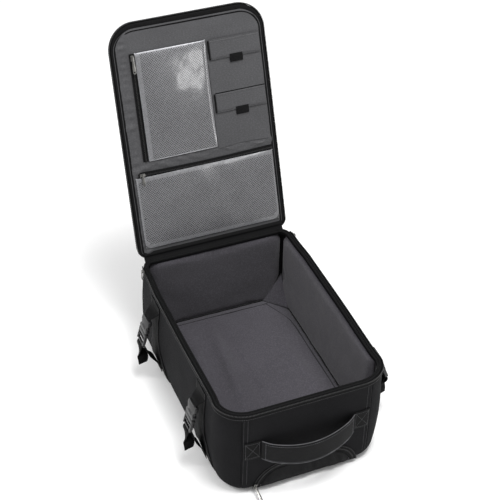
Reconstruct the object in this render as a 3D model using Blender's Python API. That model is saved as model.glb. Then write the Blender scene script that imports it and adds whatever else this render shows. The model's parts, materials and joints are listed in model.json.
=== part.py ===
"""Clamshell travel backpack, lying on its back with its lid open.

Metres, +Z up. The origin is the centre of the back's flat underside. The lid is hinged at the +Y
(base) end, and the grab handle is at the -Y (head) end. The lid's pieces are laid out shut, in the
frame of an empty on the hinge, and that empty is turned to open them.
"""
import math

import bmesh
import bpy
from mathutils import Euler, Matrix, Vector

UP = Vector((0.0, 0.0, 1.0))
GAP = 0.0004  # left between pieces that touch

# Tub
WIDTH = 0.356
LENGTH = 0.528
RIM_Z = 0.233
HEAD_RADIUS = 0.058  # plan corners at the handle's end
BASE_RADIUS = 0.028  # plan corners at the hinge's end
FOOT_RADIUS = 0.024  # the walls' roll under the bag
FABRIC = 0.0025
PAD = 0.0085
HEAD_SEAM_DEG = 22.5  # how far round each head corner its seam is
TURN_STEP_DEG = 11.25  # every layer turns a corner on the same facets
RIM_DEPTH = 0.010
RIM_THICK = 0.0065
TAPE = 0.0014
TAPE_DEPTH = 0.016
TAPE_BELOW_RIM = 0.0006
PAD_BELOW_RIM = 0.0106
PAD_TOP_ROUND = 0.022
SIDE_PAD_SHORT = 0.027  # side pads stop this far from the base end
BASE_PAD_SHORT = 0.031  # and the base pad this far from the sides
BOARD_Z = 0.0205
BOARD_THICK = 0.003
BOARD_INSET = 0.0055
FLOOR_THICK = 0.008
STOWED_STRAP_Z = 0.0033
STOWED_STRAP_THICK = 0.014
STOWED_STRAP_Y = -0.205  # its upper end
STOWED_STRAP_LENGTH = 0.390
STOWED_STRAP_X = 0.062
STOWED_STRAP_SWAY = 0.020
STOWED_STRAP_HALF = 0.034
STOWED_STRAP_NARROWING = 0.010

# Lid, in the hinge's frame: y runs to minus its length, z from the seam outwards
HINGE_Y = LENGTH / 2 + 0.0005
LID_OPEN_DEG = 109.5
LID_HALF = 0.177
LID_LENGTH = 0.526
LID_THICK = 0.0158
LID_BASE_RADIUS = 0.018
LID_HINGE_CLEAR = 0.0006
LID_BORDER = 0.006
LINING = 0.0013
LID_TAPE_DEPTH = 0.012
LID_TAPE_SHORT = 0.006  # stops this far before the hinge's corners

# Pockets in the lid: x limits, then distances from the hinge
MESH_UPPER = (-0.125, 0.036, 0.221, 0.462)
MESH_LOWER = (-0.160, 0.163, 0.023, 0.187)
ZIP_UPPER = (-0.137, -0.126, 0.222, 0.462)
ZIP_LOWER = (-0.152, 0.165, 0.188, 0.199)
ORGANISER = (0.038, 0.164, 0.215, 0.430)
FLAP_X = (0.045, 0.163)
FLAP_TOPS = {"upper": 0.458, "lower": 0.339}
FLAP_DROP = 0.042
FLAP_THICK = 0.0012
TAB_X = (0.089, 0.119)
TAB_DROP = 0.012
POCKET_THICK = 0.0012
ZIP_THICK = 0.0016

# Sliders and their pulls
SLIDER_LENGTH = 0.012
SLIDER_WIDTH = 0.008
SLIDER_BODY = 0.0026
BRIDGE_TOP = 0.0042
BRIDGE_FOOT_HALF = 0.0036
BRIDGE_TOP_HALF = 0.0028
PULL_WIDTH = 0.007
PULL_THICK = 0.0012
PULL_NECK = 0.003
PULL_NECK_INSET = 0.001
PIVOT_OUT = 0.0054  # pull's axis above the tape
MAIN_SLIDER_Y = 0.230
MAIN_SLIDER_DROP = 0.004
MAIN_PULL_LENGTH = 0.022
UPPER_SLIDER_S = 0.453
UPPER_PULL_LENGTH = 0.034
LOWER_SLIDER_X = -0.145
LOWER_PULL_LENGTH = 0.024

# Grab handle and the pocket under it, on the head wall
HANDLE_X = 0.1035
HANDLE_TOP_Z = 0.152
HANDLE_WIDTH = 0.050
HANDLE_THICK = 0.006
HANDLE_BULGE = 0.027
HANDLE_SAG = 0.014
HANDLE_FULLNESS = 0.75  # below 1, the bow is fuller at its ends
HANDLE_LEAN = 0.10  # how much further out its lower edge is, for its width
HANDLE_EDGE = 0.002
HANDLE_STAND_OFF = 0.0025
PATCH_THICK = 0.0025
PATCH_SHORT_DEG = 3  # the patches stop this far before the head seams
ARCH_HALF = 0.112
ARCH_RADIUS = 0.060
ARCH_FOOT_Z = 0.010
ARCH_TAPE = 0.0083
FLAP_PANEL_THICK = 0.004
POCKET_SLIDER_DEG = 15
POCKET_PULL_LENGTH = 0.034
POCKET_PULL_TILT_DEG = 16

# Compression straps: each leans out from the wall by its own looseness
STRAPS = {
    "left_far": (-1, 0.140, 1.0),
    "left_near": (-1, -0.140, 0.86),
    "right_far": (1, 0.140, 1.0),
    "right_near": (1, -0.140, 1.35),
}
WEBBING = 0.0016
BUCKLE_TOP = (0.026, 0.174)  # out from the wall, height
BUCKLE_FOOT = (0.044, 0.110)
BUCKLE_SPLIT = 0.034  # length of the female half
BUCKLE_WIDTH = 0.038
BUCKLE_THICK = 0.009
SOCKET_WALL = 0.0018
SOCKET_ROOF = 0.006
SOCKET_SHORT = 0.001
PLUG_THINNER = 0.0005
TONGUE_LENGTH = 0.024

# Webbing ribbons: out from the wall, more out for each unit of looseness, height, width
UPPER_RIBBON = (
    (0.0014, 0.000, 0.2150, 0.060),
    (0.0018, 0.000, 0.2055, 0.054),
    (0.0000, 0.012, 0.1900, 0.042),
    (-0.0006, 0.026, 0.1762, 0.030),
)
LOWER_RIBBON = (
    (-0.0045, 0.000, 0.0060, 0.112),
    (0.0000, 0.010, 0.0150, 0.100),
    (0.0000, 0.024, 0.0500, 0.056),
    (-0.0120, 0.044, 0.0840, 0.030),
    (-0.0035, 0.044, 0.1045, 0.030),
    (0.0030, 0.044, 0.1040, 0.030),
    (0.0030, 0.044, 0.0860, 0.030),
    (-0.0030, 0.044, 0.0420, 0.027),
)

# Lengths along the tub's outline, and how far its inner layers stand in
SIDE_RUN = LENGTH - HEAD_RADIUS - BASE_RADIUS
HEAD_RUN = WIDTH - 2 * HEAD_RADIUS
BASE_HALF = WIDTH / 2 - BASE_RADIUS
WALL_INNER = FABRIC + GAP
PAD_INNER = WALL_INNER + PAD

FINISHES = {
    "heather": ((0.045, 0.045, 0.048), 0.9, 0.0),
    "dark_fabric": ((0.015, 0.015, 0.016), 0.85, 0.0),
    "black_trim": ((0.006, 0.006, 0.006), 0.7, 0.0),
    "lining": ((0.07, 0.069, 0.075), 0.85, 0.0),
    "lid_lining": ((0.11, 0.11, 0.11), 0.8, 0.0),
    "mesh": ((0.28, 0.28, 0.29), 0.7, 0.0),
    "plastic": ((0.012, 0.012, 0.012), 0.45, 0.0),
    "nickel": ((0.55, 0.55, 0.55), 0.3, 1.0),
    "board": ((0.03, 0.03, 0.03), 0.6, 0.0),
}


def clear_scene():
    """Remove every object that the file opened with."""
    for item in list(bpy.data.objects):
        bpy.data.objects.remove(item, do_unlink=True)


def finished(name, finish):
    """A material for one piece."""
    colour, roughness, metallic = FINISHES[finish]
    material = bpy.data.materials.new(name + "_" + finish)
    material.use_nodes = True
    shader = material.node_tree.nodes["Principled BSDF"]
    shader.inputs["Base Color"].default_value = (*colour, 1.0)
    shader.inputs["Roughness"].default_value = roughness
    shader.inputs["Metallic"].default_value = metallic
    return material


def add_piece(name, bm, finish, location=(0, 0, 0), rotation=(0, 0, 0), parent=None, smooth=False):
    """Turn a bmesh into a named object with its own material."""
    bmesh.ops.recalc_face_normals(bm, faces=bm.faces)
    mesh = bpy.data.meshes.new(name)
    bm.to_mesh(mesh)
    bm.free()
    if smooth:
        mesh.shade_smooth()
        mesh.set_sharp_from_angle(angle=math.radians(40))
    mesh.materials.append(finished(name, finish))
    piece = bpy.data.objects.new(name, mesh)
    bpy.context.collection.objects.link(piece)
    piece.location = location
    piece.rotation_euler = rotation
    piece.parent = parent
    return piece


def add_empty(name, location, rotation=(0, 0, 0), parent=None):
    """A joint's axis, to hang moving pieces on."""
    empty = bpy.data.objects.new(name, None)
    bpy.context.collection.objects.link(empty)
    empty.location = location
    empty.rotation_euler = rotation
    empty.parent = parent
    return empty


def rings_solid(rings):
    """A closed solid through rings of points, each extruded from the one before it."""
    bm = bmesh.new()
    start = end = bm.faces.new([bm.verts.new(point) for point in rings[0]])
    for ring in rings[1:]:
        made = bmesh.ops.extrude_face_region(bm, geom=[end])
        if end is not start:
            bmesh.ops.delete(bm, geom=[end], context="FACES_ONLY")
        end = next(item for item in made["geom"] if isinstance(item, bmesh.types.BMFace))
        for vert, point in zip(end.verts, ring):
            vert.co = point
    return bm


def slab(outline, shift):
    """A flat outline of points extruded by a vector."""
    return rings_solid([outline, [Vector(point) + Vector(shift) for point in outline]])


def box(low, high):
    """A box between two corners."""
    x0, y0, z0 = low
    x1, y1, z1 = high
    return slab([(x0, y0, z0), (x1, y0, z0), (x1, y1, z0), (x0, y1, z0)], (0, 0, z1 - z0))


def arc(centre, radius, start_deg, end_deg, steps):
    """Points (a, b) round part of a circle."""
    points = []
    for step in range(steps + 1):
        angle = math.radians(start_deg + (end_deg - start_deg) * step / steps)
        points.append((centre[0] + radius * math.cos(angle), centre[1] + radius * math.sin(angle)))
    return points


def rounded_outline(half_x, low_y, high_y, low_radius, high_radius, z):
    """A rounded rectangle, counter-clockwise from above."""
    corners = (
        (half_x - low_radius, low_y + low_radius, low_radius, -90),
        (half_x - high_radius, high_y - high_radius, high_radius, 0),
        (high_radius - half_x, high_y - high_radius, high_radius, 90),
        (low_radius - half_x, low_y + low_radius, low_radius, 180),
    )
    steps = round(90 / TURN_STEP_DEG)
    points = []
    for x, y, radius, start in corners:
        points += arc((x, y), radius, start, start + 90, steps)
    return [Vector((x, y, z)) for x, y in points]


def tub_plate(inset, low, high):
    """A plate that follows the tub's outline, at an inset from it."""
    outline = rounded_outline(
        WIDTH / 2 - inset,
        inset - LENGTH / 2,
        LENGTH / 2 - inset,
        HEAD_RADIUS - inset,
        BASE_RADIUS - inset,
        low,
    )
    return slab(outline, (0, 0, high - low))


def carried(section, start, out_deg, legs):
    """A section of (out, up) points carried counter-clockwise round an outline.

    Each leg is ("run", length) or ("turn", radius, degrees); out_deg is the outward way at the start.
    """
    place = Vector((*start, 0.0))
    angle = math.radians(out_deg)
    stations = [(place.copy(), angle)]
    for leg in legs:
        out = Vector((math.cos(angle), math.sin(angle), 0.0))
        if leg[0] == "run":
            place = place + UP.cross(out) * leg[1]
            stations.append((place.copy(), angle))
            continue
        _, radius, degrees = leg
        centre = place - out * radius
        steps = max(1, round(degrees / TURN_STEP_DEG))
        for step in range(1, steps + 1):
            turned = angle + math.radians(degrees) * step / steps
            place = centre + Vector((math.cos(turned), math.sin(turned), 0.0)) * radius
            stations.append((place.copy(), turned))
        angle = turned
    rings = []
    for place, angle in stations:
        out = Vector((math.cos(angle), math.sin(angle), 0.0))
        rings.append([place + out * u + UP * z for u, z in section])
    return rings_solid(rings)


def strip(out_low, out_high, z_low, z_high):
    """A rectangular section for carried()."""
    return [(out_high, z_low), (out_high, z_high), (out_low, z_high), (out_low, z_low)]


def wall_section():
    """The wall's section: rolled in under the bag at its foot, upright above."""
    centre = (-FOOT_RADIUS, FOOT_RADIUS)
    top = RIM_Z - RIM_DEPTH - GAP
    outer = arc(centre, FOOT_RADIUS, -90, 0, 3)
    inner = arc(centre, FOOT_RADIUS - FABRIC, 0, -90, 3)
    return outer + [(0.0, top), (-FABRIC, top)] + inner


def head_corner(side, degrees):
    """A place on a head corner, some degrees round from the head wall, for side -1 or +1."""
    angle = math.radians(degrees)
    x = WIDTH / 2 - HEAD_RADIUS + HEAD_RADIUS * math.sin(angle)
    y = HEAD_RADIUS - LENGTH / 2 - HEAD_RADIUS * math.cos(angle)
    return (side * x, y)


def add_walls():
    """Four wall panels, joined at seams on the corners."""
    section = wall_section()
    corner_deg = 90 - HEAD_SEAM_DEG
    head_turn = ("turn", HEAD_RADIUS, corner_deg)
    base_turn = ("turn", BASE_RADIUS, 90)
    side_run = ("run", SIDE_RUN)
    right_start = head_corner(1, HEAD_SEAM_DEG)
    right = carried(section, right_start, -corner_deg, [head_turn, side_run, base_turn])
    left = carried(section, (-BASE_HALF, LENGTH / 2), 90, [base_turn, side_run, head_turn])
    add_piece("right_side_panel", right, "heather", smooth=True)
    add_piece("left_side_panel", left, "heather", smooth=True)

    wrap = HEAD_SEAM_DEG - math.degrees(GAP / (HEAD_RADIUS - FOOT_RADIUS))
    wrap_turn = ("turn", HEAD_RADIUS, wrap)
    head_legs = [wrap_turn, ("run", HEAD_RUN), wrap_turn]
    head = carried(section, head_corner(-1, wrap), -90 - wrap, head_legs)
    add_piece("head_end_panel", head, "heather", smooth=True)
    base_start = (BASE_HALF - GAP, LENGTH / 2)
    base = carried(section, base_start, 90, [("run", 2 * (BASE_HALF - GAP))])
    add_piece("base_end_panel", base, "heather", smooth=True)


def add_back():
    """The back: its cover, the stowed shoulder straps, a stiff board and the padded floor."""
    add_piece("back_cover", tub_plate(FOOT_RADIUS + 2 * GAP, 0.0, FABRIC), "heather")
    add_piece("back_board", tub_plate(BOARD_INSET, BOARD_Z, BOARD_Z + BOARD_THICK), "board")
    floor_z = BOARD_Z + BOARD_THICK + GAP
    add_piece("floor_pad", tub_plate(PAD_INNER + GAP, floor_z, floor_z + FLOOR_THICK), "lining")
    for side, word in ((-1, "left"), (1, "right")):
        outline = stowed_strap_outline(side)
        strap = slab(outline, (0, 0, STOWED_STRAP_THICK))
        add_piece("shoulder_strap_" + word, strap, "dark_fabric", smooth=True)


def stowed_strap_outline(side):
    """An S-shaped shoulder strap, laid flat and narrowing to its lower end."""
    edges = ([], [])
    steps = 10
    for step in range(steps + 1):
        t = step / steps
        middle = STOWED_STRAP_X + STOWED_STRAP_SWAY * math.sin(math.pi * t)
        half = STOWED_STRAP_HALF - STOWED_STRAP_NARROWING * t
        y = STOWED_STRAP_Y + STOWED_STRAP_LENGTH * t
        edges[0].append((side * (middle - half), y, STOWED_STRAP_Z))
        edges[1].append((side * (middle + half), y, STOWED_STRAP_Z))
    return edges[0] + edges[1][::-1]


def add_wall_pads():
    """Padded lining panels standing inside the walls."""
    low = FOOT_RADIUS + GAP
    high = RIM_Z - PAD_BELOW_RIM
    section = strip(-PAD_INNER, -WALL_INNER, low, high)
    head_turn = ("turn", HEAD_RADIUS, 90)
    head_start = (-WIDTH / 2, HEAD_RADIUS - LENGTH / 2)
    head = carried(section, head_start, 180, [head_turn, ("run", HEAD_RUN), head_turn])
    add_piece("head_wall_pad", head, "lining", smooth=True)

    y0 = HEAD_RADIUS - LENGTH / 2 + GAP
    y1 = LENGTH / 2 - SIDE_PAD_SHORT
    inner = WIDTH / 2 - PAD_INNER
    round_z = high - PAD_TOP_ROUND
    profile = [(y0, low), (y1, low)]
    profile += arc((y1 - PAD_TOP_ROUND, round_z), PAD_TOP_ROUND, 0, 90, 3)
    profile.append((y0, high))
    for side, word in ((-1, "left"), (1, "right")):
        outline = [(side * inner, y, z) for y, z in profile]
        add_piece(word + "_wall_pad", slab(outline, (side * PAD, 0, 0)), "lining")
    half = WIDTH / 2 - BASE_PAD_SHORT
    base_profile = [(-half, low), (half, low)]
    base_profile += arc((half - PAD_TOP_ROUND, round_z), PAD_TOP_ROUND, 0, 90, 3)
    base_profile += arc((PAD_TOP_ROUND - half, round_z), PAD_TOP_ROUND, 90, 180, 3)
    outline = [(x, LENGTH / 2 - PAD_INNER, z) for x, z in base_profile]
    add_piece("base_wall_pad", slab(outline, (0, PAD, 0)), "lining")


def add_rim():
    """The bound rim, the fabric band that carries the lid, and the tub's half of the main zip."""
    section = strip(-RIM_THICK, 0.0, RIM_Z - RIM_DEPTH, RIM_Z - GAP)
    base_turn = ("turn", BASE_RADIUS, 90)
    head_turn = ("turn", HEAD_RADIUS, 90)
    side_run = ("run", SIDE_RUN)
    legs = [base_turn, side_run, head_turn, ("run", HEAD_RUN), head_turn, side_run, base_turn]
    rim = carried(section, (-BASE_HALF, LENGTH / 2), 90, legs)
    add_piece("rim_binding", rim, "black_trim", smooth=True)
    band = carried(section, (BASE_HALF - GAP, LENGTH / 2), 90, [("run", 2 * (BASE_HALF - GAP))])
    add_piece("hinge_tape", band, "black_trim")

    tape_section = strip(GAP, GAP + TAPE, RIM_Z - TAPE_DEPTH, RIM_Z - TAPE_BELOW_RIM)
    tape_run = ("run", SIDE_RUN - GAP)
    tape_legs = [tape_run, head_turn, ("run", HEAD_RUN), head_turn, tape_run]
    tape_start = (-WIDTH / 2, LENGTH / 2 - BASE_RADIUS - GAP)
    tape = carried(tape_section, tape_start, 180, tape_legs)
    add_piece("tub_zip_tape", tape, "black_trim", smooth=True)


def slider_mesh():
    """A zip slider: a body with a bridge on top. It slides along X and stands out along Z."""
    half = SLIDER_LENGTH / 2
    profile = [
        (-half, 0),
        (half, 0),
        (half, SLIDER_BODY),
        (BRIDGE_FOOT_HALF, SLIDER_BODY),
        (BRIDGE_TOP_HALF, BRIDGE_TOP),
        (-BRIDGE_TOP_HALF, BRIDGE_TOP),
        (-BRIDGE_FOOT_HALF, SLIDER_BODY),
        (-half, SLIDER_BODY),
    ]
    outline = [(x, -SLIDER_WIDTH / 2, z) for x, z in profile]
    return slab(outline, (0, SLIDER_WIDTH, 0))


def pull_mesh(length):
    """A pull tab hanging along X from its pivot, with a round end."""
    half = PULL_WIDTH / 2
    neck = half - PULL_NECK_INSET
    outline = [(-PULL_THICK / 2, neck), (-PULL_THICK / 2, -neck), (PULL_NECK, -half)]
    outline += arc((length - half, 0), half, -90, 90, 4)
    outline.append((PULL_NECK, half))
    flat = [(x, y, -PULL_THICK / 2) for x, y in outline]
    return slab(flat, (0, 0, PULL_THICK))


def turned(x_axis, z_axis):
    """The rotation that points a piece's own X and Z along these ways."""
    x_axis = Vector(x_axis).normalized()
    z_axis = Vector(z_axis).normalized()
    columns = (x_axis, z_axis.cross(x_axis), z_axis)
    return Matrix(columns).transposed().to_euler()


def add_zip_pull(names, place, slide_way, out_way, hang_way, length, parent=None):
    """A slider on a tape and the tab that swings from its bridge."""
    slider_name, pull_name = names
    add_piece(slider_name, slider_mesh(), "nickel", place, turned(slide_way, out_way), parent)
    pivot = Vector(place) + Vector(out_way).normalized() * PIVOT_OUT
    add_piece(pull_name, pull_mesh(length), "nickel", pivot, turned(hang_way, out_way), parent)


def add_main_zip():
    """The main zip's two sliders, parked at the ends next to the hinge."""
    out = WIDTH / 2 + 2 * GAP + TAPE
    for side, word in ((-1, "left"), (1, "right")):
        place = (side * out, MAIN_SLIDER_Y, RIM_Z - MAIN_SLIDER_DROP)
        names = ("main_slider_" + word, "main_pull_" + word)
        add_zip_pull(names, place, (0, 1, 0), (side, 0, 0), (0, 0, -1), MAIN_PULL_LENGTH)


def add_handle():
    """The grab handle: a padded sleeve between two stitched webbing patches."""
    low = HANDLE_TOP_Z - HANDLE_WIDTH
    section = strip(GAP, GAP + PATCH_THICK, low, HANDLE_TOP_Z)
    wrap = HEAD_SEAM_DEG - PATCH_SHORT_DEG
    corner_x = HEAD_RUN / 2
    inner_x = HANDLE_X + 2 * GAP
    flat_run = ("run", corner_x - inner_x)
    turn = ("turn", HEAD_RADIUS, wrap)
    left = carried(section, head_corner(-1, wrap), -90 - wrap, [turn, flat_run])
    add_piece("handle_patch_left", left, "black_trim")
    right = carried(section, (inner_x, -LENGTH / 2), -90, [flat_run, turn])
    add_piece("handle_patch_right", right, "black_trim")

    pivot = (0, -LENGTH / 2 - HANDLE_STAND_OFF, HANDLE_TOP_Z)
    rings = []
    steps = 12
    for step in range(steps + 1):
        t = step / steps
        swell = math.sin(math.pi * t) ** HANDLE_FULLNESS
        x = HANDLE_X * (2 * t - 1)
        out = HANDLE_BULGE * swell
        drop = HANDLE_SAG * swell
        lean = HANDLE_LEAN * swell * HANDLE_WIDTH
        outer = out + HANDLE_THICK
        foot = drop + HANDLE_WIDTH
        rings.append([
            (x, -out, -drop),
            (x, -outer, -drop - HANDLE_EDGE),
            (x, -outer - lean, HANDLE_EDGE - foot),
            (x, -out - lean, -foot),
        ])
    add_piece("handle_sleeve", rings_solid(rings), "dark_fabric", pivot, smooth=True)


def arch(offset, foot_z):
    """The pocket zip's line, moved out by an offset, from the left foot over the top to the right."""
    radius = ARCH_RADIUS + offset
    corner_x = ARCH_HALF - ARCH_RADIUS
    foot_deg = math.degrees(math.asin(foot_z / radius))
    left = arc((-corner_x, 0), radius, 180 - foot_deg, 90, 6)
    right = arc((corner_x, 0), radius, 90, foot_deg, 6)
    return left + right


def add_pocket():
    """The arched pocket on the head wall: its zip, its flap and the zip's slider."""
    face_y = -LENGTH / 2 - GAP
    hinge = (0, face_y, ARCH_FOOT_Z)
    half_gap = GAP / 2

    def upright(points):
        return [(x, 0.0, z - ARCH_FOOT_Z) for x, z in points]

    outer_tape = arch(ARCH_TAPE, ARCH_FOOT_Z) + arch(half_gap, ARCH_FOOT_Z)[::-1]
    add_piece("pocket_zip_tape_outer", slab(upright(outer_tape), (0, -TAPE, 0)), "black_trim", hinge)
    inner_tape = arch(-half_gap, ARCH_FOOT_Z) + arch(-ARCH_TAPE, ARCH_FOOT_Z)[::-1]
    add_piece("pocket_zip_tape_inner", slab(upright(inner_tape), (0, -TAPE, 0)), "black_trim", hinge)
    panel = arch(-ARCH_TAPE - GAP, ARCH_FOOT_Z)
    add_piece("pocket_flap", slab(upright(panel), (0, -FLAP_PANEL_THICK, 0)), "dark_fabric", hinge)

    # The slider turns about the centre of the arch's left corner, outside the seam line.
    corner = add_empty("pocket_zip_axis", (ARCH_RADIUS - ARCH_HALF, face_y - TAPE - GAP, 0))
    reach = ARCH_RADIUS + SLIDER_WIDTH / 2 + GAP
    angle = math.radians(180 - POCKET_SLIDER_DEG)
    place = Vector((reach * math.cos(angle), 0, reach * math.sin(angle)))
    along = (math.sin(angle), 0, -math.cos(angle))
    add_piece("pocket_slider", slider_mesh(), "nickel", place, turned(along, (0, -1, 0)), corner)
    pull_tilt = math.radians(POCKET_PULL_TILT_DEG)
    hang = Vector((0, -math.cos(pull_tilt), -math.sin(pull_tilt)))
    pivot = place + Vector((0, -PIVOT_OUT, 0))
    across = Vector((1, 0, 0)).cross(hang)
    pull = pull_mesh(POCKET_PULL_LENGTH)
    add_piece("pocket_pull", pull, "nickel", pivot, turned(hang, -across), corner)


def lid_outline(inset, z):
    """The lid's outline at an inset, in the hinge's frame."""
    return rounded_outline(
        LID_HALF - inset,
        inset - LID_LENGTH,
        -LID_HINGE_CLEAR - inset,
        HEAD_RADIUS - inset,
        LID_BASE_RADIUS - inset,
        z,
    )


def add_lid(hinge):
    """The lid: fabric shell, foam, lining, bound edge and its half of the main zip."""
    board_low = GAP + LINING + GAP
    border_top = LID_THICK - FABRIC - GAP
    shell = slab(lid_outline(0.0, LID_THICK - FABRIC), (0, 0, FABRIC))
    add_piece("lid_shell", shell, "heather", parent=hinge)
    inset = LID_BORDER + GAP
    board = slab(lid_outline(inset, board_low), (0, 0, border_top - board_low))
    add_piece("lid_board", board, "board", parent=hinge)
    lining = slab(lid_outline(inset, GAP), (0, 0, LINING))
    add_piece("lid_lining", lining, "lid_lining", parent=hinge)

    border = slab(lid_outline(0.0, GAP), (0, 0, border_top - GAP))
    bmesh.ops.recalc_face_normals(border, faces=border.faces)
    caps = [face for face in border.faces if abs(face.normal.z) > 0.9]
    bmesh.ops.inset_region(border, faces=caps, thickness=LID_BORDER)
    hole_edges = [edge for cap in caps for edge in cap.edges]
    bmesh.ops.delete(border, geom=caps, context="FACES_ONLY")
    bmesh.ops.bridge_loops(border, edges=hole_edges)
    add_piece("lid_binding", border, "black_trim", parent=hinge, smooth=True)

    section = strip(GAP, GAP + TAPE, GAP, LID_TAPE_DEPTH)
    side_run = ("run", LID_LENGTH - HEAD_RADIUS - LID_BASE_RADIUS - LID_TAPE_SHORT)
    head_turn = ("turn", HEAD_RADIUS, 90)
    head_run = ("run", 2 * (LID_HALF - HEAD_RADIUS))
    start = (-LID_HALF, -LID_BASE_RADIUS - LID_TAPE_SHORT)
    tape = carried(section, start, 180, [side_run, head_turn, head_run, head_turn, side_run])
    add_piece("lid_zip_tape", tape, "black_trim", parent=hinge, smooth=True)


def lid_panel(name, region, thick, finish, hinge):
    """A flat piece on the lid's inner side; its region is x limits, then distances from the hinge."""
    x0, x1, near, far = region
    panel = box((x0, -far, -thick), (x1, -near, 0.0))
    add_piece(name, panel, finish, parent=hinge)


def add_lid_pockets(hinge):
    """Mesh pockets with their zips, and the organiser with its two flaps."""
    lid_panel("mesh_panel_upper", MESH_UPPER, POCKET_THICK, "mesh", hinge)
    lid_panel("mesh_panel_lower", MESH_LOWER, POCKET_THICK, "mesh", hinge)
    lid_panel("mesh_zip_upper", ZIP_UPPER, ZIP_THICK, "black_trim", hinge)
    lid_panel("mesh_zip_lower", ZIP_LOWER, ZIP_THICK, "black_trim", hinge)
    lid_panel("organiser_panel", ORGANISER, POCKET_THICK, "lid_lining", hinge)

    inward = (0, 0, -1)
    slider_z = -ZIP_THICK - GAP
    upper_x = (ZIP_UPPER[0] + ZIP_UPPER[1]) / 2
    names = ("mesh_slider_upper", "mesh_pull_upper")
    place = (upper_x, -UPPER_SLIDER_S, slider_z)
    add_zip_pull(names, place, (0, 1, 0), inward, (0, 1, 0), UPPER_PULL_LENGTH, hinge)
    lower_y = -(ZIP_LOWER[2] + ZIP_LOWER[3]) / 2
    names = ("mesh_slider_lower", "mesh_pull_lower")
    place = (LOWER_SLIDER_X, lower_y, slider_z)
    add_zip_pull(names, place, (1, 0, 0), inward, (0, 1, 0), LOWER_PULL_LENGTH, hinge)

    x0, x1 = FLAP_X
    tab0, tab1 = TAB_X
    drop, tab_foot = FLAP_DROP, FLAP_DROP + TAB_DROP
    outline = [(x0, 0), (x0, drop), (tab0, drop), (tab0, tab_foot), (tab1, tab_foot), (tab1, drop),
               (x1, drop), (x1, 0)]
    for word, top in FLAP_TOPS.items():
        flap = slab([(x, y, 0.0) for x, y in outline], (0, 0, -FLAP_THICK))
        place = (0, -top, -POCKET_THICK - GAP)
        add_piece("flap_" + word, flap, "lid_lining", place, parent=hinge)


def ribbon(knots, side, y, looseness):
    """A webbing band on one side of the tub, centred on y, with its thickness across its path."""
    points = [
        (side * (WIDTH / 2 + out + more * looseness), z, width) for out, more, z, width in knots
    ]
    rings = []
    for index, (x, z, width) in enumerate(points):
        before = points[max(index - 1, 0)]
        after = points[min(index + 1, len(points) - 1)]
        way = Vector((after[0] - before[0], 0, after[1] - before[1])).normalized()
        across = Vector((way.z, 0, -way.x)) * (WEBBING / 2)
        middle = Vector((x, y, z))
        half = Vector((0, width / 2, 0))
        outer, inner = middle + across, middle - across
        rings.append([outer - half, outer + half, inner + half, inner - half])
    return rings_solid(rings)


def buckle_frame(side, looseness):
    """Where a buckle's halves meet, and how far it leans from upright."""
    top = (BUCKLE_TOP[0] * looseness, BUCKLE_TOP[1])
    foot = (BUCKLE_FOOT[0] * looseness, BUCKLE_FOOT[1])
    run, fall = foot[0] - top[0], top[1] - foot[1]
    reach = math.hypot(run, fall)
    share = BUCKLE_SPLIT / reach
    x = WIDTH / 2 + top[0] + run * share
    z = top[1] - fall * share
    lean = math.atan2(run, fall)
    return (side * x, z), -side * lean, reach


def pulled(bm, face, margin, rise):
    """Inset a face and carry it straight up, out of its body or into it."""
    bmesh.ops.inset_region(bm, faces=[face], thickness=margin)
    made = bmesh.ops.extrude_face_region(bm, geom=[face])
    verts = [item for item in made["geom"] if isinstance(item, bmesh.types.BMVert)]
    bmesh.ops.translate(bm, verts=verts, vec=(0, 0, rise))
    bmesh.ops.delete(bm, geom=[face], context="FACES_ONLY")
    return bm


def female_mesh():
    """The buckle's socket: a flat sleeve, open at the foot."""
    half_x, half_y = BUCKLE_THICK / 2, BUCKLE_WIDTH / 2
    high = BUCKLE_SPLIT - SOCKET_SHORT
    bm = box((-half_x, -half_y, GAP), (half_x, half_y, high))
    bmesh.ops.recalc_face_normals(bm, faces=bm.faces)
    foot = min(bm.faces, key=lambda face: face.calc_center_median().z)
    return pulled(bm, foot, SOCKET_WALL, high - SOCKET_ROOF)


def male_mesh(reach):
    """The buckle's plug: a strap-bar body with a flat tongue that goes up into the socket."""
    half_x, half_y = BUCKLE_THICK / 2 - PLUG_THINNER, BUCKLE_WIDTH / 2
    bm = box((-half_x, -half_y, BUCKLE_SPLIT - reach), (half_x, half_y, -GAP))
    bmesh.ops.recalc_face_normals(bm, faces=bm.faces)
    top = max(bm.faces, key=lambda face: face.calc_center_median().z)
    return pulled(bm, top, SOCKET_WALL + GAP, TONGUE_LENGTH)


def add_straps():
    """Four compression straps, each a sewn wing, a two-part buckle and its adjustable webbing."""
    for word, (side, y, loose) in STRAPS.items():
        add_piece("strap_upper_" + word, ribbon(UPPER_RIBBON, side, y, loose), "black_trim")
        (x, z), lean, reach = buckle_frame(side, loose)
        add_piece("buckle_female_" + word, female_mesh(), "plastic", (x, y, z), (0, lean, 0))
        add_piece("buckle_male_" + word, male_mesh(reach), "plastic", (x, y, z), (0, lean, 0))
        add_piece("strap_lower_" + word, ribbon(LOWER_RIBBON, side, y, loose), "black_trim")


def main():
    """Build the backpack."""
    clear_scene()
    add_walls()
    add_back()
    add_wall_pads()
    add_rim()
    add_main_zip()
    add_handle()
    add_pocket()
    hinge = add_empty("lid_hinge", (0, HINGE_Y, RIM_Z), Euler((math.radians(-LID_OPEN_DEG), 0, 0)))
    add_lid(hinge)
    add_lid_pockets(hinge)
    add_straps()


main()
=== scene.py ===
"""Looks of a clamshell travel backpack that lies on its back with its lid open.

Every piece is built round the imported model, in metres, +Z up. The tub's pieces are walked round its
outline, and the lid's pieces are laid out in the lid's own measures: across it, up from the hinge,
and out of its fabric side.
"""
import json
import math

import bmesh
import bpy
from mathutils import Matrix, Vector, noise


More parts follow.
